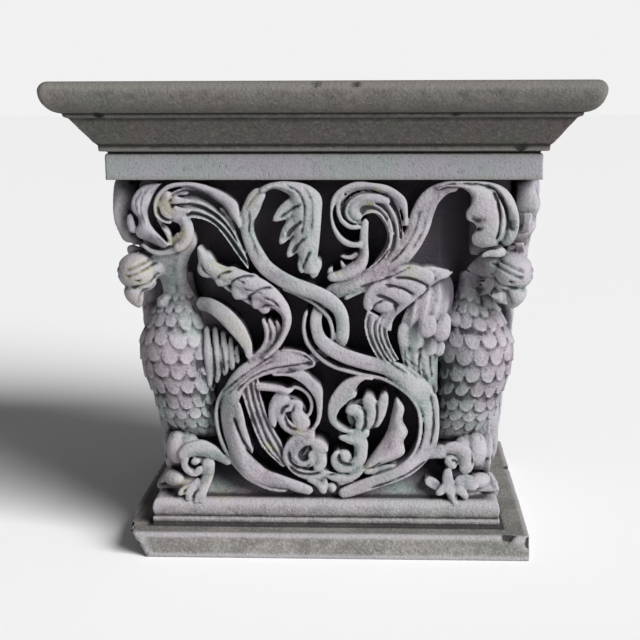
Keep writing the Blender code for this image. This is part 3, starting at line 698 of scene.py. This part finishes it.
def feather_scales(mesh):
    """Raise staggered rows of feathers, each with a round tip, on the bird's body."""
    points = points_of(mesh)
    out, aside, z = diagonal_places(points)
    axis = np.interp(z, (176, 205, 255, 290, 350, 392, 450), (206, 222, 235, 241, 242, 240, 240))
    angle = np.arctan2(aside, (out - axis) * math.sqrt(2.0))
    around = 14
    wobble = np.array([noise.noise(Vector(p) * 22.0) for p in points])
    heights = np.linspace(160, 460, 301)
    pace = 1 / np.interp(heights, (190, 240, 300, 370, 420), (17, 23, 28, 27, 17))
    rows = np.cumsum(pace[::-1])[::-1]
    place = np.interp(z, heights, rows) + 0.34 * wobble
    row = np.floor(place)
    down = place - row

    def sideways(of_row):
        turn = angle / math.tau * around + 0.5 * (of_row % 2) + 0.22 * wobble
        return 2.0 * np.abs(turn - np.rint(turn))

    tip = 0.8 * np.sqrt(np.clip(1 - sideways(row - 1) ** 2.4, 0, 1))
    over = down < tip
    height = np.where(over, (1 + down) / 1.8, down / 1.8)
    edge = np.exp(-((tip - down) / 0.07) ** 2) * over
    flat = sideways(np.where(over, row - 1, row))
    lift = 3.4 * height + 0.7 * edge - 0.6 * flat ** 2 - 2.0
    lift *= np.interp(z, (190, 240, 300, 380, 425), (1.3, 1.1, 1.0, 0.9, 0.55))
    zone = np.clip((z - 180) / 14, 0, 1) * np.clip((432 - z) / 18, 0, 1)
    near = np.hypot((out - axis) * math.sqrt(2.0), aside)
    zone *= np.clip((86 - near) / 10, 0, 1)
    set_points(mesh, points + normals_of(mesh) * (lift * zone * MM)[:, None])


def creases(mesh):
    """Cut the lines of eye, brow, cheek and beak in the head."""
    points = points_of(mesh)
    normals = normals_of(mesh)
    out, aside, z = diagonal_places(points)
    cut = np.zeros(len(points))
    side = np.clip((np.abs(aside) - 8) / 5, 0, 1)
    for line in drawn("""317,438 305,440 293,447 284,458; 318,456 304,467 286,477;
                      322,464 308,475 293,482; 297,434 302,424 303,412;
                      288,440 279,449 268,452"""):
        track, _ = smooth_line(np.array(line), 30)
        gap = np.full(len(points), 1e9)
        for x0, z0 in track:
            gap = np.minimum(gap, (out - x0) ** 2 + (z - z0) ** 2)
        cut = np.maximum(cut, 3.0 * np.exp(-gap / 2.4 ** 2) * side)
    eye = (out - 309) ** 2 + (z - 449) ** 2
    cut = np.maximum(cut, 4 * np.exp(-eye / 2.4 ** 2) * side)
    set_points(mesh, points - normals * (cut * MM)[:, None])


def corner_ball(shells, out, z, reach, width, height):
    """A rounded mass on the corner's diagonal."""
    rows = [(out, z - height * math.cos(t), reach * math.sin(t), width * math.sin(t), 0)
            for t in np.linspace(0.15, math.pi - 0.15, 12)]
    skin(shells, corner_rings(rows))


def corner_bird():
    """The bird at the right front corner, its blunt bent beak, and the stone above it."""
    shells = bmesh.new()

    def body(text, columns):
        skin(shells, corner_rings(complete(drawn(text)[0], 0, 0, 0), columns))

    body("""206,176,20,26 212,187,34,36 222,205,43,44 230,225,48,50 235,255,50,54 241,290,57,59
         243,325,61,62 242,350,60,62 240,372,52,55 240,392,42,46 238,412,30,33 238,434,23,26
         240,456,21,25""", 44)
    body("""238,438,20,25 240,456,22,26,20 250,469,24,28,50 265,474,25,30,78 284,468,26,32,98
         300,458,23,29,115""", 36)
    corner_ball(shells, 298, 462, 31, 33, 30)
    corner_ball(shells, 294, 448, 25, 30, 20)
    body("298,456,22,28 301,441,15,19 303,430,15,18 302,419,13,15 299,410,9,10 297,404,3,4", 24)
    body("254,422,6,7 260,414,10,11 262,406,11,12 259,396,10,11 254,388,7,9", 20)
    corner_ball(shells, 246, 163, 18, 19, 28)
    corner_ball(shells, 236, 168, 20, 34, 20)
    corner_ball(shells, 252, 112, 14, 22, 13)
    corner_ball(shells, 240, 104, 18, 34, 14)
    body("""252,486,18,22 257,500,25,30 260,530,28,34 262,560,29,35 263,590,30,36
         263,606,29,35""", 36)

    def finish(mesh):
        feather_scales(mesh)
        creases(mesh)
    return fuse(shells, "corner_bird", BIRD_TRIANGLES, finish)


def weather(mesh, seed, rough, swell):
    """Wear the stone by slow waves and a fine roughness, in millimetres."""
    points = points_of(mesh)
    normals = normals_of(mesh)
    shift = Vector((seed * 3.1, seed * 1.7, seed * 2.3))
    wear = np.array([swell * noise.noise(Vector(p) * SLOW_WAVES + shift)
                     + rough * noise.noise(Vector(p) * FINE_ROUGHNESS + shift) for p in points])
    set_points(mesh, points + normals * (wear * MM)[:, None])


def push_out(points, index, move):
    """Move a point level, away from the upright middle line."""
    out = Vector((*points[index, :2], 0)).normalized()
    points[index, :2] += np.array(out.xy) * move


def knock_chips(points, chips):
    """Push points out of each chip's rough ball: its middle and radius in metres."""
    for middle, radius in chips:
        away = points - np.array(middle)
        distance = np.linalg.norm(away, axis=1)
        near = np.where(distance < 1.5 * radius)[0]
        for index in near:
            rough = radius * (1 + 0.35 * noise.noise(Vector(points[index]) * 160.0))
            if distance[index] < rough:
                points[index] = np.array(middle) + away[index] * (rough / distance[index])


def mark_hollows(mesh):
    """Store how hollow the surface is at each point: above 0 in creases, below on arrises."""
    points = points_of(mesh)
    normals = normals_of(mesh)
    ends = np.empty(len(mesh.edges) * 2, np.int32)
    mesh.edges.foreach_get("vertices", ends)
    first, second = ends.reshape(-1, 2).T
    total = np.zeros_like(points)
    count = np.zeros(len(points))
    for a, b in ((first, second), (second, first)):
        np.add.at(total, a, points[b])
        np.add.at(count, a, 1)
    count = np.maximum(count, 1)
    bend = np.einsum("ij,ij->i", total / count[:, None] - points, normals) * 1000
    for _ in range(4):
        spread = np.zeros(len(points))
        for a, b in ((first, second), (second, first)):
            np.add.at(spread, a, bend[b])
        bend = 0.4 * bend + 0.6 * spread / count
    store(mesh, "hollow", np.clip(bend * 4, -1, 1))


def mark_recess(mesh, lowest, neck=True):
    """Store how deep each point lies behind the face, above the lowest height: the painted shade
    of the recesses.
    """
    points = points_of(mesh) / MM
    x, z = points[:, 0], points[:, 2]
    across = np.sort(np.abs(points[:, :2]), axis=1)
    depth = face_out(across[:, 0], z) - across[:, 1]
    deep = np.clip((depth - PAINTED_SHADE_FROM) / PAINTED_SHADE_OVER, 0, 1) * np.clip((z - lowest) / 26, 0, 1)
    if neck:
        deep *= 1 - (np.clip((-196 - x) / 10, 0, 1) * np.clip((530 - z) / 20, 0, 1)
                     * np.clip((z - 380) / 12, 0, 1))
    store(mesh, "recess", deep ** 2 * (3 - 2 * deep))


# Where lichen has settled: the middle and radius of each patch, drawn in thousandths of a metre
random.seed(3)
GROWTHS = [((x / 1000, y / 1000, z / 1000), radius / 1000) for x, y, z, radius in drawn("""
    -246,-335,568,26 -222,-325,516,28 -112,-335,578,17 -290,-325,462,34 -146,-315,377,26
    -158,-325,472,24 -125,-315,352,18 -172,-275,102,34 -245,-275,104,30 72,-290,136,16
    140,-325,464,18 -90,-290,172,16 72,-335,566,14 22,-330,464,16 -305,-310,420,20
    88,-335,596,12 -100,-305,142,15 -44,-300,206,14""")[0]]
for _ in range(60):
    side = random.choice(((1, 0), (0, 1), (-1, 0)))
    height = random.choice((random.uniform(0.09, 0.12), random.uniform(0.12, 0.60),
                            random.uniform(0.42, 0.60)))
    along = random.uniform(-0.28, 0.28)
    out = float(face_half(height / MM)) * MM
    GROWTHS.append(((side[0] * out - side[1] * along, side[1] * out + side[0] * along, height),
                    random.uniform(0.014, 0.034)))


def mark_growth(mesh):
    """Store how near each point is to the middle of a patch of lichen."""
    points = points_of(mesh)
    growth = np.zeros(len(points))
    for middle, radius in GROWTHS:
        away = np.linalg.norm(points - np.array(middle), axis=1)
        growth = np.maximum(growth, np.clip(1.5 - 1.5 * away / radius, 0, 1))
    store(mesh, "growth", growth)


def square_ring(half, height, cut, bulge, side_columns, cut_columns):
    """Points round a square whose corners are cut flat (bulge 0) or round (bulge 1)."""
    near = half - cut
    along = np.linspace(-near, near, side_columns, endpoint=False)
    turn = np.linspace(0.0, math.pi / 2, cut_columns, endpoint=False)
    flat = turn / (math.pi / 2)
    over = near + cut * (bulge * np.sin(turn) + (1 - bulge) * flat)
    down = near + cut * (bulge * np.cos(turn) + (1 - bulge) * (1 - flat))
    x = np.concatenate([along, over])
    y = np.concatenate([np.full(side_columns, -half), -down])
    quarter = [(x, y), (-y, x), (-x, -y), (y, -x)]
    ring = np.concatenate([np.column_stack(pair) for pair in quarter])
    return np.column_stack([ring, np.full(len(ring), height)])


def eased_profile(levels, spacing, ease):
    """Even steps along a moulding's profile, with its arrises worn round."""
    levels = np.array(levels, float)
    run = np.concatenate([[0.0], np.cumsum(np.hypot(*np.diff(levels[:, :2], axis=0).T))])
    even = np.linspace(0.0, run[-1], max(8, round(run[-1] / 0.0005)))
    dense = np.column_stack([np.interp(even, run, column) for column in levels.T])
    kernel = np.ones(max(1, round(ease / 0.0005)) | 1)
    width = len(kernel) // 2
    padded = np.pad(dense, ((width, width), (0, 0)), mode="edge")
    eased = np.column_stack([np.convolve(column, kernel / kernel.sum(), "valid")
                             for column in padded.T])
    stations = max(8, round(run[-1] / spacing))
    return eased[np.linspace(0, len(eased) - 1, stations).round().astype(int)]


def quarter(foot, head, steps, level_first):
    """Levels of a quarter ellipse between two (half width, height, cut) points."""
    levels = []
    for angle in np.linspace(0.0, math.pi / 2, steps + 1):
        out, up = math.sin(angle), 1 - math.cos(angle)
        if not level_first:
            out, up = up, out
        levels.append((foot[0] + (head[0] - foot[0]) * out, foot[1] + (head[1] - foot[1]) * up,
                       head[2]))
    return levels


def square_solid(name, profile, bulge, side_columns, cut_columns, wear):
    """A moulding run round a square, from its profile of half width, height and corner cut."""
    rings = np.stack([square_ring(half, height, cut, bulge(height), side_columns, cut_columns)
                      for half, height, cut in profile])
    wear(rings.reshape(-1, 3))
    solid = bmesh.new()
    skin(solid, rings)
    bmesh.ops.recalc_face_normals(solid, faces=solid.faces)
    return mesh_of(solid, name)


# Plinth, step and bell
PLINTH_HEIGHT = 0.041
STEP_HALF = 0.2835
STEP_FILLET_TOP = 0.055
ROLL_TOP = 0.085
ROLL_BULGE = 0.009
GROOVE_DEPTH = 0.004
CORNER_WEAR = 0.003
BELL_FOOT_CUT = 0.030
BELL_HEAD_CUT = 0.090

# The broken front left corner of the plinth
BREAK_ALONG_SIDE = 0.118
BREAK_ACROSS_TOP = 0.0195
BREAK_ACROSS_FOOT = 0.0425


def break_corner(points):
    """Break the plinth's front left corner away on its slanting, rough plane."""
    corner = -PLINTH_HALF
    side = np.array([corner, corner + BREAK_ALONG_SIDE, PLINTH_HEIGHT])
    top = np.array([corner + BREAK_ACROSS_TOP, corner, PLINTH_HEIGHT])
    foot = np.array([corner + BREAK_ACROSS_FOOT, corner, 0.0])
    normal = np.cross(foot - top, side - top)
    normal /= np.linalg.norm(normal)
    if normal[0] > 0:
        normal = -normal
    level = normal * (1.0, 1.0, 0.0) / (normal[:2] @ normal[:2])
    beyond = (points - top) @ normal
    for index in np.where((beyond > -0.005) & (points[:, 2] < PLINTH_HEIGHT + 0.002))[0]:
        p = Vector(points[index])
        rough = 0.005 * noise.noise(p * 60) + 0.003 * noise.noise(p * 150)
        points[index] -= level * max(0.0, beyond[index] + rough)


def stepped_plinth():
    """The broken plinth, the step with its fillet and roll, the cove, and the bell's core."""
    bed = capital_high.z
    under = [(half, 0.0, CORNER_WEAR) for half in (0.02, 0.12, 0.2, 0.26)]
    levels = [(0.31, 0.0, CORNER_WEAR),
              (PLINTH_HALF, 0.0, CORNER_WEAR), (PLINTH_HALF, PLINTH_HEIGHT, CORNER_WEAR),
              (STEP_HALF, PLINTH_HEIGHT, CORNER_WEAR), (STEP_HALF, STEP_FILLET_TOP, CORNER_WEAR)]
    narrow = STEP_HALF - ROLL_BULGE
    groove = STEP_HALF - GROOVE_DEPTH
    middle = (STEP_HALF, (STEP_FILLET_TOP + ROLL_TOP) / 2, CORNER_WEAR)
    levels += quarter((groove, STEP_FILLET_TOP, CORNER_WEAR), middle, 8, True)
    levels += quarter(middle, (narrow, ROLL_TOP, CORNER_WEAR), 8, False)[1:]
    levels += [(COVE_HALF * MM, DRAWN_FOOT * MM, BELL_FOOT_CUT),
               (CORE_FOOT_HALF * MM, COVE_HEAD * MM, BELL_FOOT_CUT)]
    foot = eased_profile(levels, 0.0036, 0.003)
    head = np.column_stack([np.linspace(a, b, 26) for a, b in (
        (CORE_FOOT_HALF * MM, CORE_HEAD_HALF * MM), (COVE_HEAD * MM, bed),
        (BELL_FOOT_CUT, BELL_HEAD_CUT))])
    top = [(0.2, bed, 0.06), (0.1, bed, 0.03), (0.02, bed, 0.006)]
    profile = np.vstack([under, foot, head[1:], top])
    profile[:5, 1] = 0.0

    def wear(points):
        for index in np.where((points[:, 2] > 0.001) & (points[:, 2] < bed - 0.001))[0]:
            p = Vector(points[index])
            low = points[index, 2] < 0.14
            push_out(points, index, 0.0009 * noise.noise(p * 26)
                     + (0.0007 * noise.noise(p * 110) if low else 0))
        break_corner(points)
        half = PLINTH_HALF
        knock_chips(points, [((0.295, -half - 0.004, 0.045), 0.014),
                             ((0.245, -half - 0.006, 0.044), 0.010),
                             ((half + 0.002, -half - 0.002, 0.030), 0.012),
                             ((-0.02, -half - 0.006, 0.045), 0.009),
                             ((-0.16, -half - 0.005, 0.046), 0.009),
                             ((half + 0.005, 0.11, 0.044), 0.016),
                             ((0.09, half + 0.005, 0.044), 0.015),
                             ((-half - 0.005, 0.05, 0.045), 0.012)])
    return square_solid("stepped_plinth_and_core", profile, lambda height: float(height < 0.1),
                        90, 10, wear)


# The slab: the height of its fascia's top arris and the round of its top edge
FASCIA_TOP = 0.6485
TOP_ROUND = 0.0135


def top_slab():
    """The moulded slab: fascia, groove, fillets, slope and the big worn roll."""
    cut = 0.004
    under = [(half, BED, cut) for half in (0.05, 0.15, 0.25, 0.29)]
    levels = [(0.32, BED, cut), (0.338, BED, cut), (0.338, FASCIA_TOP, cut),
              (0.334, 0.6495, cut), (0.334, 0.6525, cut), (0.347, 0.6535, cut),
              (0.347, 0.662, cut), (0.352, 0.666, cut), (0.3845, 0.705, cut),
              (0.3915, 0.707, cut), (0.3915, 0.712, cut)]
    widest = (SLAB_HALF, 0.7465, 0.010)
    levels += quarter(levels[-1], widest, 8, True)[1:]
    levels += quarter(widest, (SLAB_HALF - TOP_ROUND, SLAB_TOP, 0.010), 6, False)[1:]
    profile = eased_profile(levels, 0.0034, 0.0025)
    top = [(share * (SLAB_HALF - TOP_ROUND), SLAB_TOP, 0.008)
           for share in (0.97, 0.9, 0.75, 0.5, 0.2)]
    profile = np.vstack([under, profile, top])

    def wear(points):
        inside = (points[:, 2] > BED + 0.001) & (points[:, 2] < SLAB_TOP - 0.0005)
        for index in np.where(inside)[0]:
            p = Vector(points[index])
            push_out(points, index, 0.0011 * noise.noise(p * 22)
                     + 0.0007 * noise.noise(p * 120) - 0.0007)
        random.seed(7)
        chips = []
        for _ in range(26):
            side = random.randrange(4)
            along = random.uniform(-0.41, 0.41)
            out, height = random.choice(((SLAB_HALF + 0.003, 0.742), (SLAB_HALF - 0.002, 0.757),
                                         (0.3935, 0.709), (0.349, 0.657)))
            radius = random.uniform(0.004, 0.009)
            along *= out / SLAB_HALF
            place = [(along, -out), (out, along), (along, out), (-out, along)][side]
            chips.append(((*place, height), radius))
        knock_chips(points, chips)
        points[:, 2] = np.clip(points[:, 2], BED, SLAB_TOP)
        points[:, :2] = np.clip(points[:, :2], -SLAB_HALF, SLAB_HALF)
    return square_solid("moulded_top_slab", profile, lambda height: 1.0, 150, 8, wear)


# Finishes
def colour(value):
    """Linear colour from an sRGB hex value."""
    parts = [int(value[i:i + 2], 16) / 255 for i in (0, 2, 4)]
    return tuple(c / 12.92 if c <= 0.04045 else ((c + 0.055) / 1.055) ** 2.4 for c in parts) + (1,)


def add_node(tree, kind, settings=None, **links):
    """Add a node with its settings; a link is another node's output socket or a value."""
    node = tree.nodes.new(kind)
    for name, value in (settings or {}).items():
        setattr(node, name, value)
    for name, value in links.items():
        key = name.replace("_", " ") if not name.startswith("in") else int(name[2:])
        socket = node.inputs[key]
        if isinstance(value, bpy.types.NodeSocket):
            tree.links.new(value, socket)
        else:
            socket.default_value = value
    return node


def per_mm(size):
    """Noise scale for a pattern whose patches are about this many millimetres wide."""
    return 1000.0 / size


def weathered_cast_stone(name, palette, fascia_top=None):
    """Cast stone, tamped in a mould and weathered for decades: a mottled matt skin with fine
    pits and yellow-green lichen on what catches the rain, arrises lightened by rubbing and by a
    painted highlight, and painted shade in the creases and the recesses."""
    material = bpy.data.materials.new(name)
    material.use_nodes = True
    tree = material.node_tree
    shader = tree.nodes["Principled BSDF"]
    shader.inputs["Roughness"].default_value = 0.93
    shader.inputs["Specular IOR Level"].default_value = 0.2
    place = add_node(tree, "ShaderNodeTexCoord").outputs["Object"]
    split = add_node(tree, "ShaderNodeSeparateXYZ", Vector=place)

    def patches(size, low, high, detail=3.0, shift=0.0):
        moved = add_node(tree, "ShaderNodeMapping", Vector=place, Location=(shift, shift, shift))
        field = add_node(tree, "ShaderNodeTexNoise", Vector=moved.outputs[0],
                         Scale=per_mm(size), Detail=detail)
        return ramp(field.outputs[0], low, high, smooth=True)

    def ramp(value, low, high, smooth=False):
        kind = {"interpolation_type": "SMOOTHSTEP" if smooth else "LINEAR"}
        return add_node(tree, "ShaderNodeMapRange", kind, in0=value, in1=low,
                        in2=high).outputs[0]

    def maths(operation, first, second):
        return add_node(tree, "ShaderNodeMath", {"operation": operation},
                        in0=first, in1=second).outputs[0]

    def mixed(first, second, amount):
        return add_node(tree, "ShaderNodeMix", {"data_type": "RGBA"},
                        in0=amount, in6=first, in7=second).outputs[2]

    def laid(tone, key, amount, strength):
        return mixed(tone, colour(palette[key]), maths("MULTIPLY", amount, strength))

    def stored(key):
        return add_node(tree, "ShaderNodeAttribute", {"attribute_name": key}).outputs["Fac"]

    # Clouds of the binder's colour, a darker tint towards the foot, then fine light and dark
    # mottling
    tone = mixed(colour(palette["base"]), colour(palette["green"]), patches(130, 0.4, 0.66, 1.0))
    tone = laid(tone, "pink", patches(90, 0.46, 0.68, 1.0, 3.0), 0.75)
    if "foot" in palette:
        low = maths("MULTIPLY", ramp(split.outputs[2], 0.098, 0.044), 0.85)
        tone = mixed(tone, mixed(colour(palette["foot"]), colour(palette["foot_light"]),
                                 patches(70, 0.42, 0.62, 3.0, 4.0)), low)
    tone = laid(tone, "light", patches(5, 0.46, 0.7, 6.0, 5.0), 0.35)
    tone = laid(tone, "shade", patches(8, 0.48, 0.68, 7.0, 8.0), 0.38)
    if fascia_top:
        plain = mixed(colour(palette["fascia"]), colour(palette["fascia_pink"]),
                      patches(110, 0.42, 0.62, 1.0, 6.0))
        tone = mixed(plain, tone, ramp(split.outputs[2], fascia_top - 0.001, fascia_top + 0.002))
    # Lichen, open pocks, arrises lightened by rubbing and a painted highlight, painted shade in
    # the creases, and painted shade in the recesses
    settled = maths("MULTIPLY", ramp(stored("growth"), 0.1, 0.6),
                    patches(5, 0.36, 0.58, 5.0, 11.0))
    tone = laid(tone, "lichen", settled, 0.9)
    pocks = maths("MULTIPLY", patches(3.0, 0.63, 0.7, 2.0, 2.0), patches(24, 0.42, 0.6, shift=9.0))
    tone = laid(tone, "dark", pocks, 0.75)
    hollow = stored("hollow")
    # Painted highlight on the arrises, together with their rubbed wear
    tone = laid(tone, "light", ramp(hollow, -0.12, -0.7), 0.55)
    # Painted shade in the creases, where shade falls
    tone = laid(tone, "dark", ramp(hollow, 0.06, 0.6), 0.85)
    # Painted shade darkens the recesses behind the face, where shade falls
    tone = laid(tone, "recess_shade", stored("recess"), 0.95)
    tree.links.new(tone, shader.inputs["Base Color"])
    grit = add_node(tree, "ShaderNodeTexNoise", Vector=place, Scale=per_mm(4.5), Detail=5.0)
    pits = add_node(tree, "ShaderNodeTexVoronoi", Vector=place, Scale=per_mm(6.0))
    rough = maths("ADD", grit.outputs[0],
                  maths("MULTIPLY", ramp(pits.outputs["Distance"], 0.0, 0.25), 0.6))
    bump = add_node(tree, "ShaderNodeBump", Height=rough, Strength=0.8, Distance=0.0022)
    tree.links.new(bump.outputs[0], shader.inputs["Normal"])
    return material


# Each palette's darkest recess colour is painted shade, laid in the recesses where shade falls
carved_stone = weathered_cast_stone("weathered_cast_stone", {
    "base": "7E7981", "green": "788380", "pink": "877C83", "light": "A8A4A9", "shade": "524D55",
    "lichen": "86846A", "dark": "1F1C20", "recess_shade": "4A454D", "foot": "68665F",
    "foot_light": "7C7972"})
slab_stone = weathered_cast_stone("weathered_cast_stone_slab", {
    "base": "524F4D", "green": "4E504B", "pink": "57504E", "light": "787470", "shade": "393735",
    "lichen": "62644C", "dark": "1F1E1C", "fascia": "7F8485", "fascia_pink": "858389",
    "recess_shade": "3C3B37"}, FASCIA_TOP)


def add_piece(name, mesh, material, nodes):
    item = new_object(name, mesh)
    mesh.materials.append(material)
    mesh.polygons.foreach_set("use_smooth", [True] * len(mesh.polygons))
    mesh.update()
    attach(item, "root")
    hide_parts(*nodes)


def turned_copies(mesh, names, lowest, swell, rough):
    """The same carving on all four sides, each worn in its own way."""
    for number, name in enumerate(names):
        copy = mesh.copy()
        copy.name = name
        weather(copy, number + 1, rough, swell)
        mark_hollows(copy)
        mark_recess(copy, lowest)
        copy.transform(Matrix.Rotation(math.radians(90.0 * number), 4, "Z"))
        mark_growth(copy)
        add_piece(name, copy, carved_stone, ["carved_capital"])


# The drawn heights above which painted shade lies in the recesses: above the step, and above the
# birds
ABOVE_STEP = 92
ABOVE_BIRDS = 482

foot = stepped_plinth()
mark_hollows(foot)
mark_recess(foot, ABOVE_STEP, neck=False)
mark_growth(foot)
add_piece("stepped_plinth_and_core", foot, carved_stone,
          ["stepped_plinth", "carved_capital"])
turned_copies(face_carving(), ["carved_front", "carved_right", "carved_back", "carved_left"],
              ABOVE_STEP, 0.8, 0.3)
turned_copies(corner_bird(), ["bird_front_right", "bird_back_right", "bird_back_left",
                              "bird_front_left"], ABOVE_BIRDS, 0.6, 0.3)
slab = top_slab()
mark_hollows(slab)
mark_growth(slab)
add_piece("moulded_top_slab", slab, slab_stone, ["top_slab"])

# Floor, light and camera
ground = bmesh.new()
bmesh.ops.create_grid(ground, x_segments=1, y_segments=1, size=40.0)
floor = new_object("studio_floor", mesh_of(ground, "studio_floor"))
paper = bpy.data.materials.new("white_studio_paper")
paper.use_nodes = True
matt = paper.node_tree.nodes["Principled BSDF"].inputs
matt["Base Color"].default_value = colour("F8F8F8")
matt["Roughness"].default_value = 0.9
floor.data.materials.append(paper)

# A white surround that gives only a soft, low fill
FILL = 0.12
PAPER = 0.88
world = bpy.data.worlds.new("studio_air")
world.use_nodes = True
sky = world.node_tree.nodes["Background"]
sky.inputs["Color"].default_value = colour("FFFFFF")
seen = world.node_tree.nodes.new("ShaderNodeLightPath")
strength = add_node(world.node_tree, "ShaderNodeMapRange", in0=seen.outputs["Is Camera Ray"],
                    in3=FILL, in4=PAPER)
world.node_tree.links.new(strength.outputs[0], sky.inputs["Strength"])
bpy.context.scene.world = world

# The key: degrees to the right of the front, above the floor, and across
AZIMUTH, ELEVATION, SPREAD = (math.radians(angle) for angle in (48, 29, 38))
lamp_data = bpy.data.lights.new("key_from_the_right", "SUN")
lamp_data.energy = 5.4
lamp_data.angle = SPREAD
lamp = new_object("key_from_the_right", lamp_data)
towards = Vector((math.sin(AZIMUTH) * math.cos(ELEVATION),
                  -math.cos(AZIMUTH) * math.cos(ELEVATION), math.sin(ELEVATION)))
lamp.rotation_euler = towards.to_track_quat("Z", "Y").to_euler()

# The camera that was fitted to the edges of the slab, step and plinth in the photo
PHOTO_WIDTH = 640
FOCAL_PIXELS = 1490.5
SENSOR = 36.0
CAMERA_PLACE = (0.1056, -2.6372, 0.7473)
camera_data = bpy.data.cameras.new("view_of_the_photo")
camera_data.sensor_width = SENSOR
camera_data.lens = FOCAL_PIXELS / PHOTO_WIDTH * SENSOR
camera = new_object("view_of_the_photo", camera_data)
yaw, pitch, roll = -0.0480, 0.1537, -0.0034
forward = Vector((math.sin(yaw) * math.cos(pitch), math.cos(yaw) * math.cos(pitch),
                  -math.sin(pitch)))
level = Vector((math.cos(yaw), -math.sin(yaw), 0))
upward = level.cross(forward)
turned = Matrix((math.cos(roll) * level + math.sin(roll) * upward,
                 -math.sin(roll) * level + math.cos(roll) * upward, -forward)).transposed()
camera.matrix_world = Matrix.Translation(CAMERA_PLACE) @ turned.to_4x4()
bpy.context.scene.camera = camera
bpy.context.scene.view_settings.view_transform = "Standard"
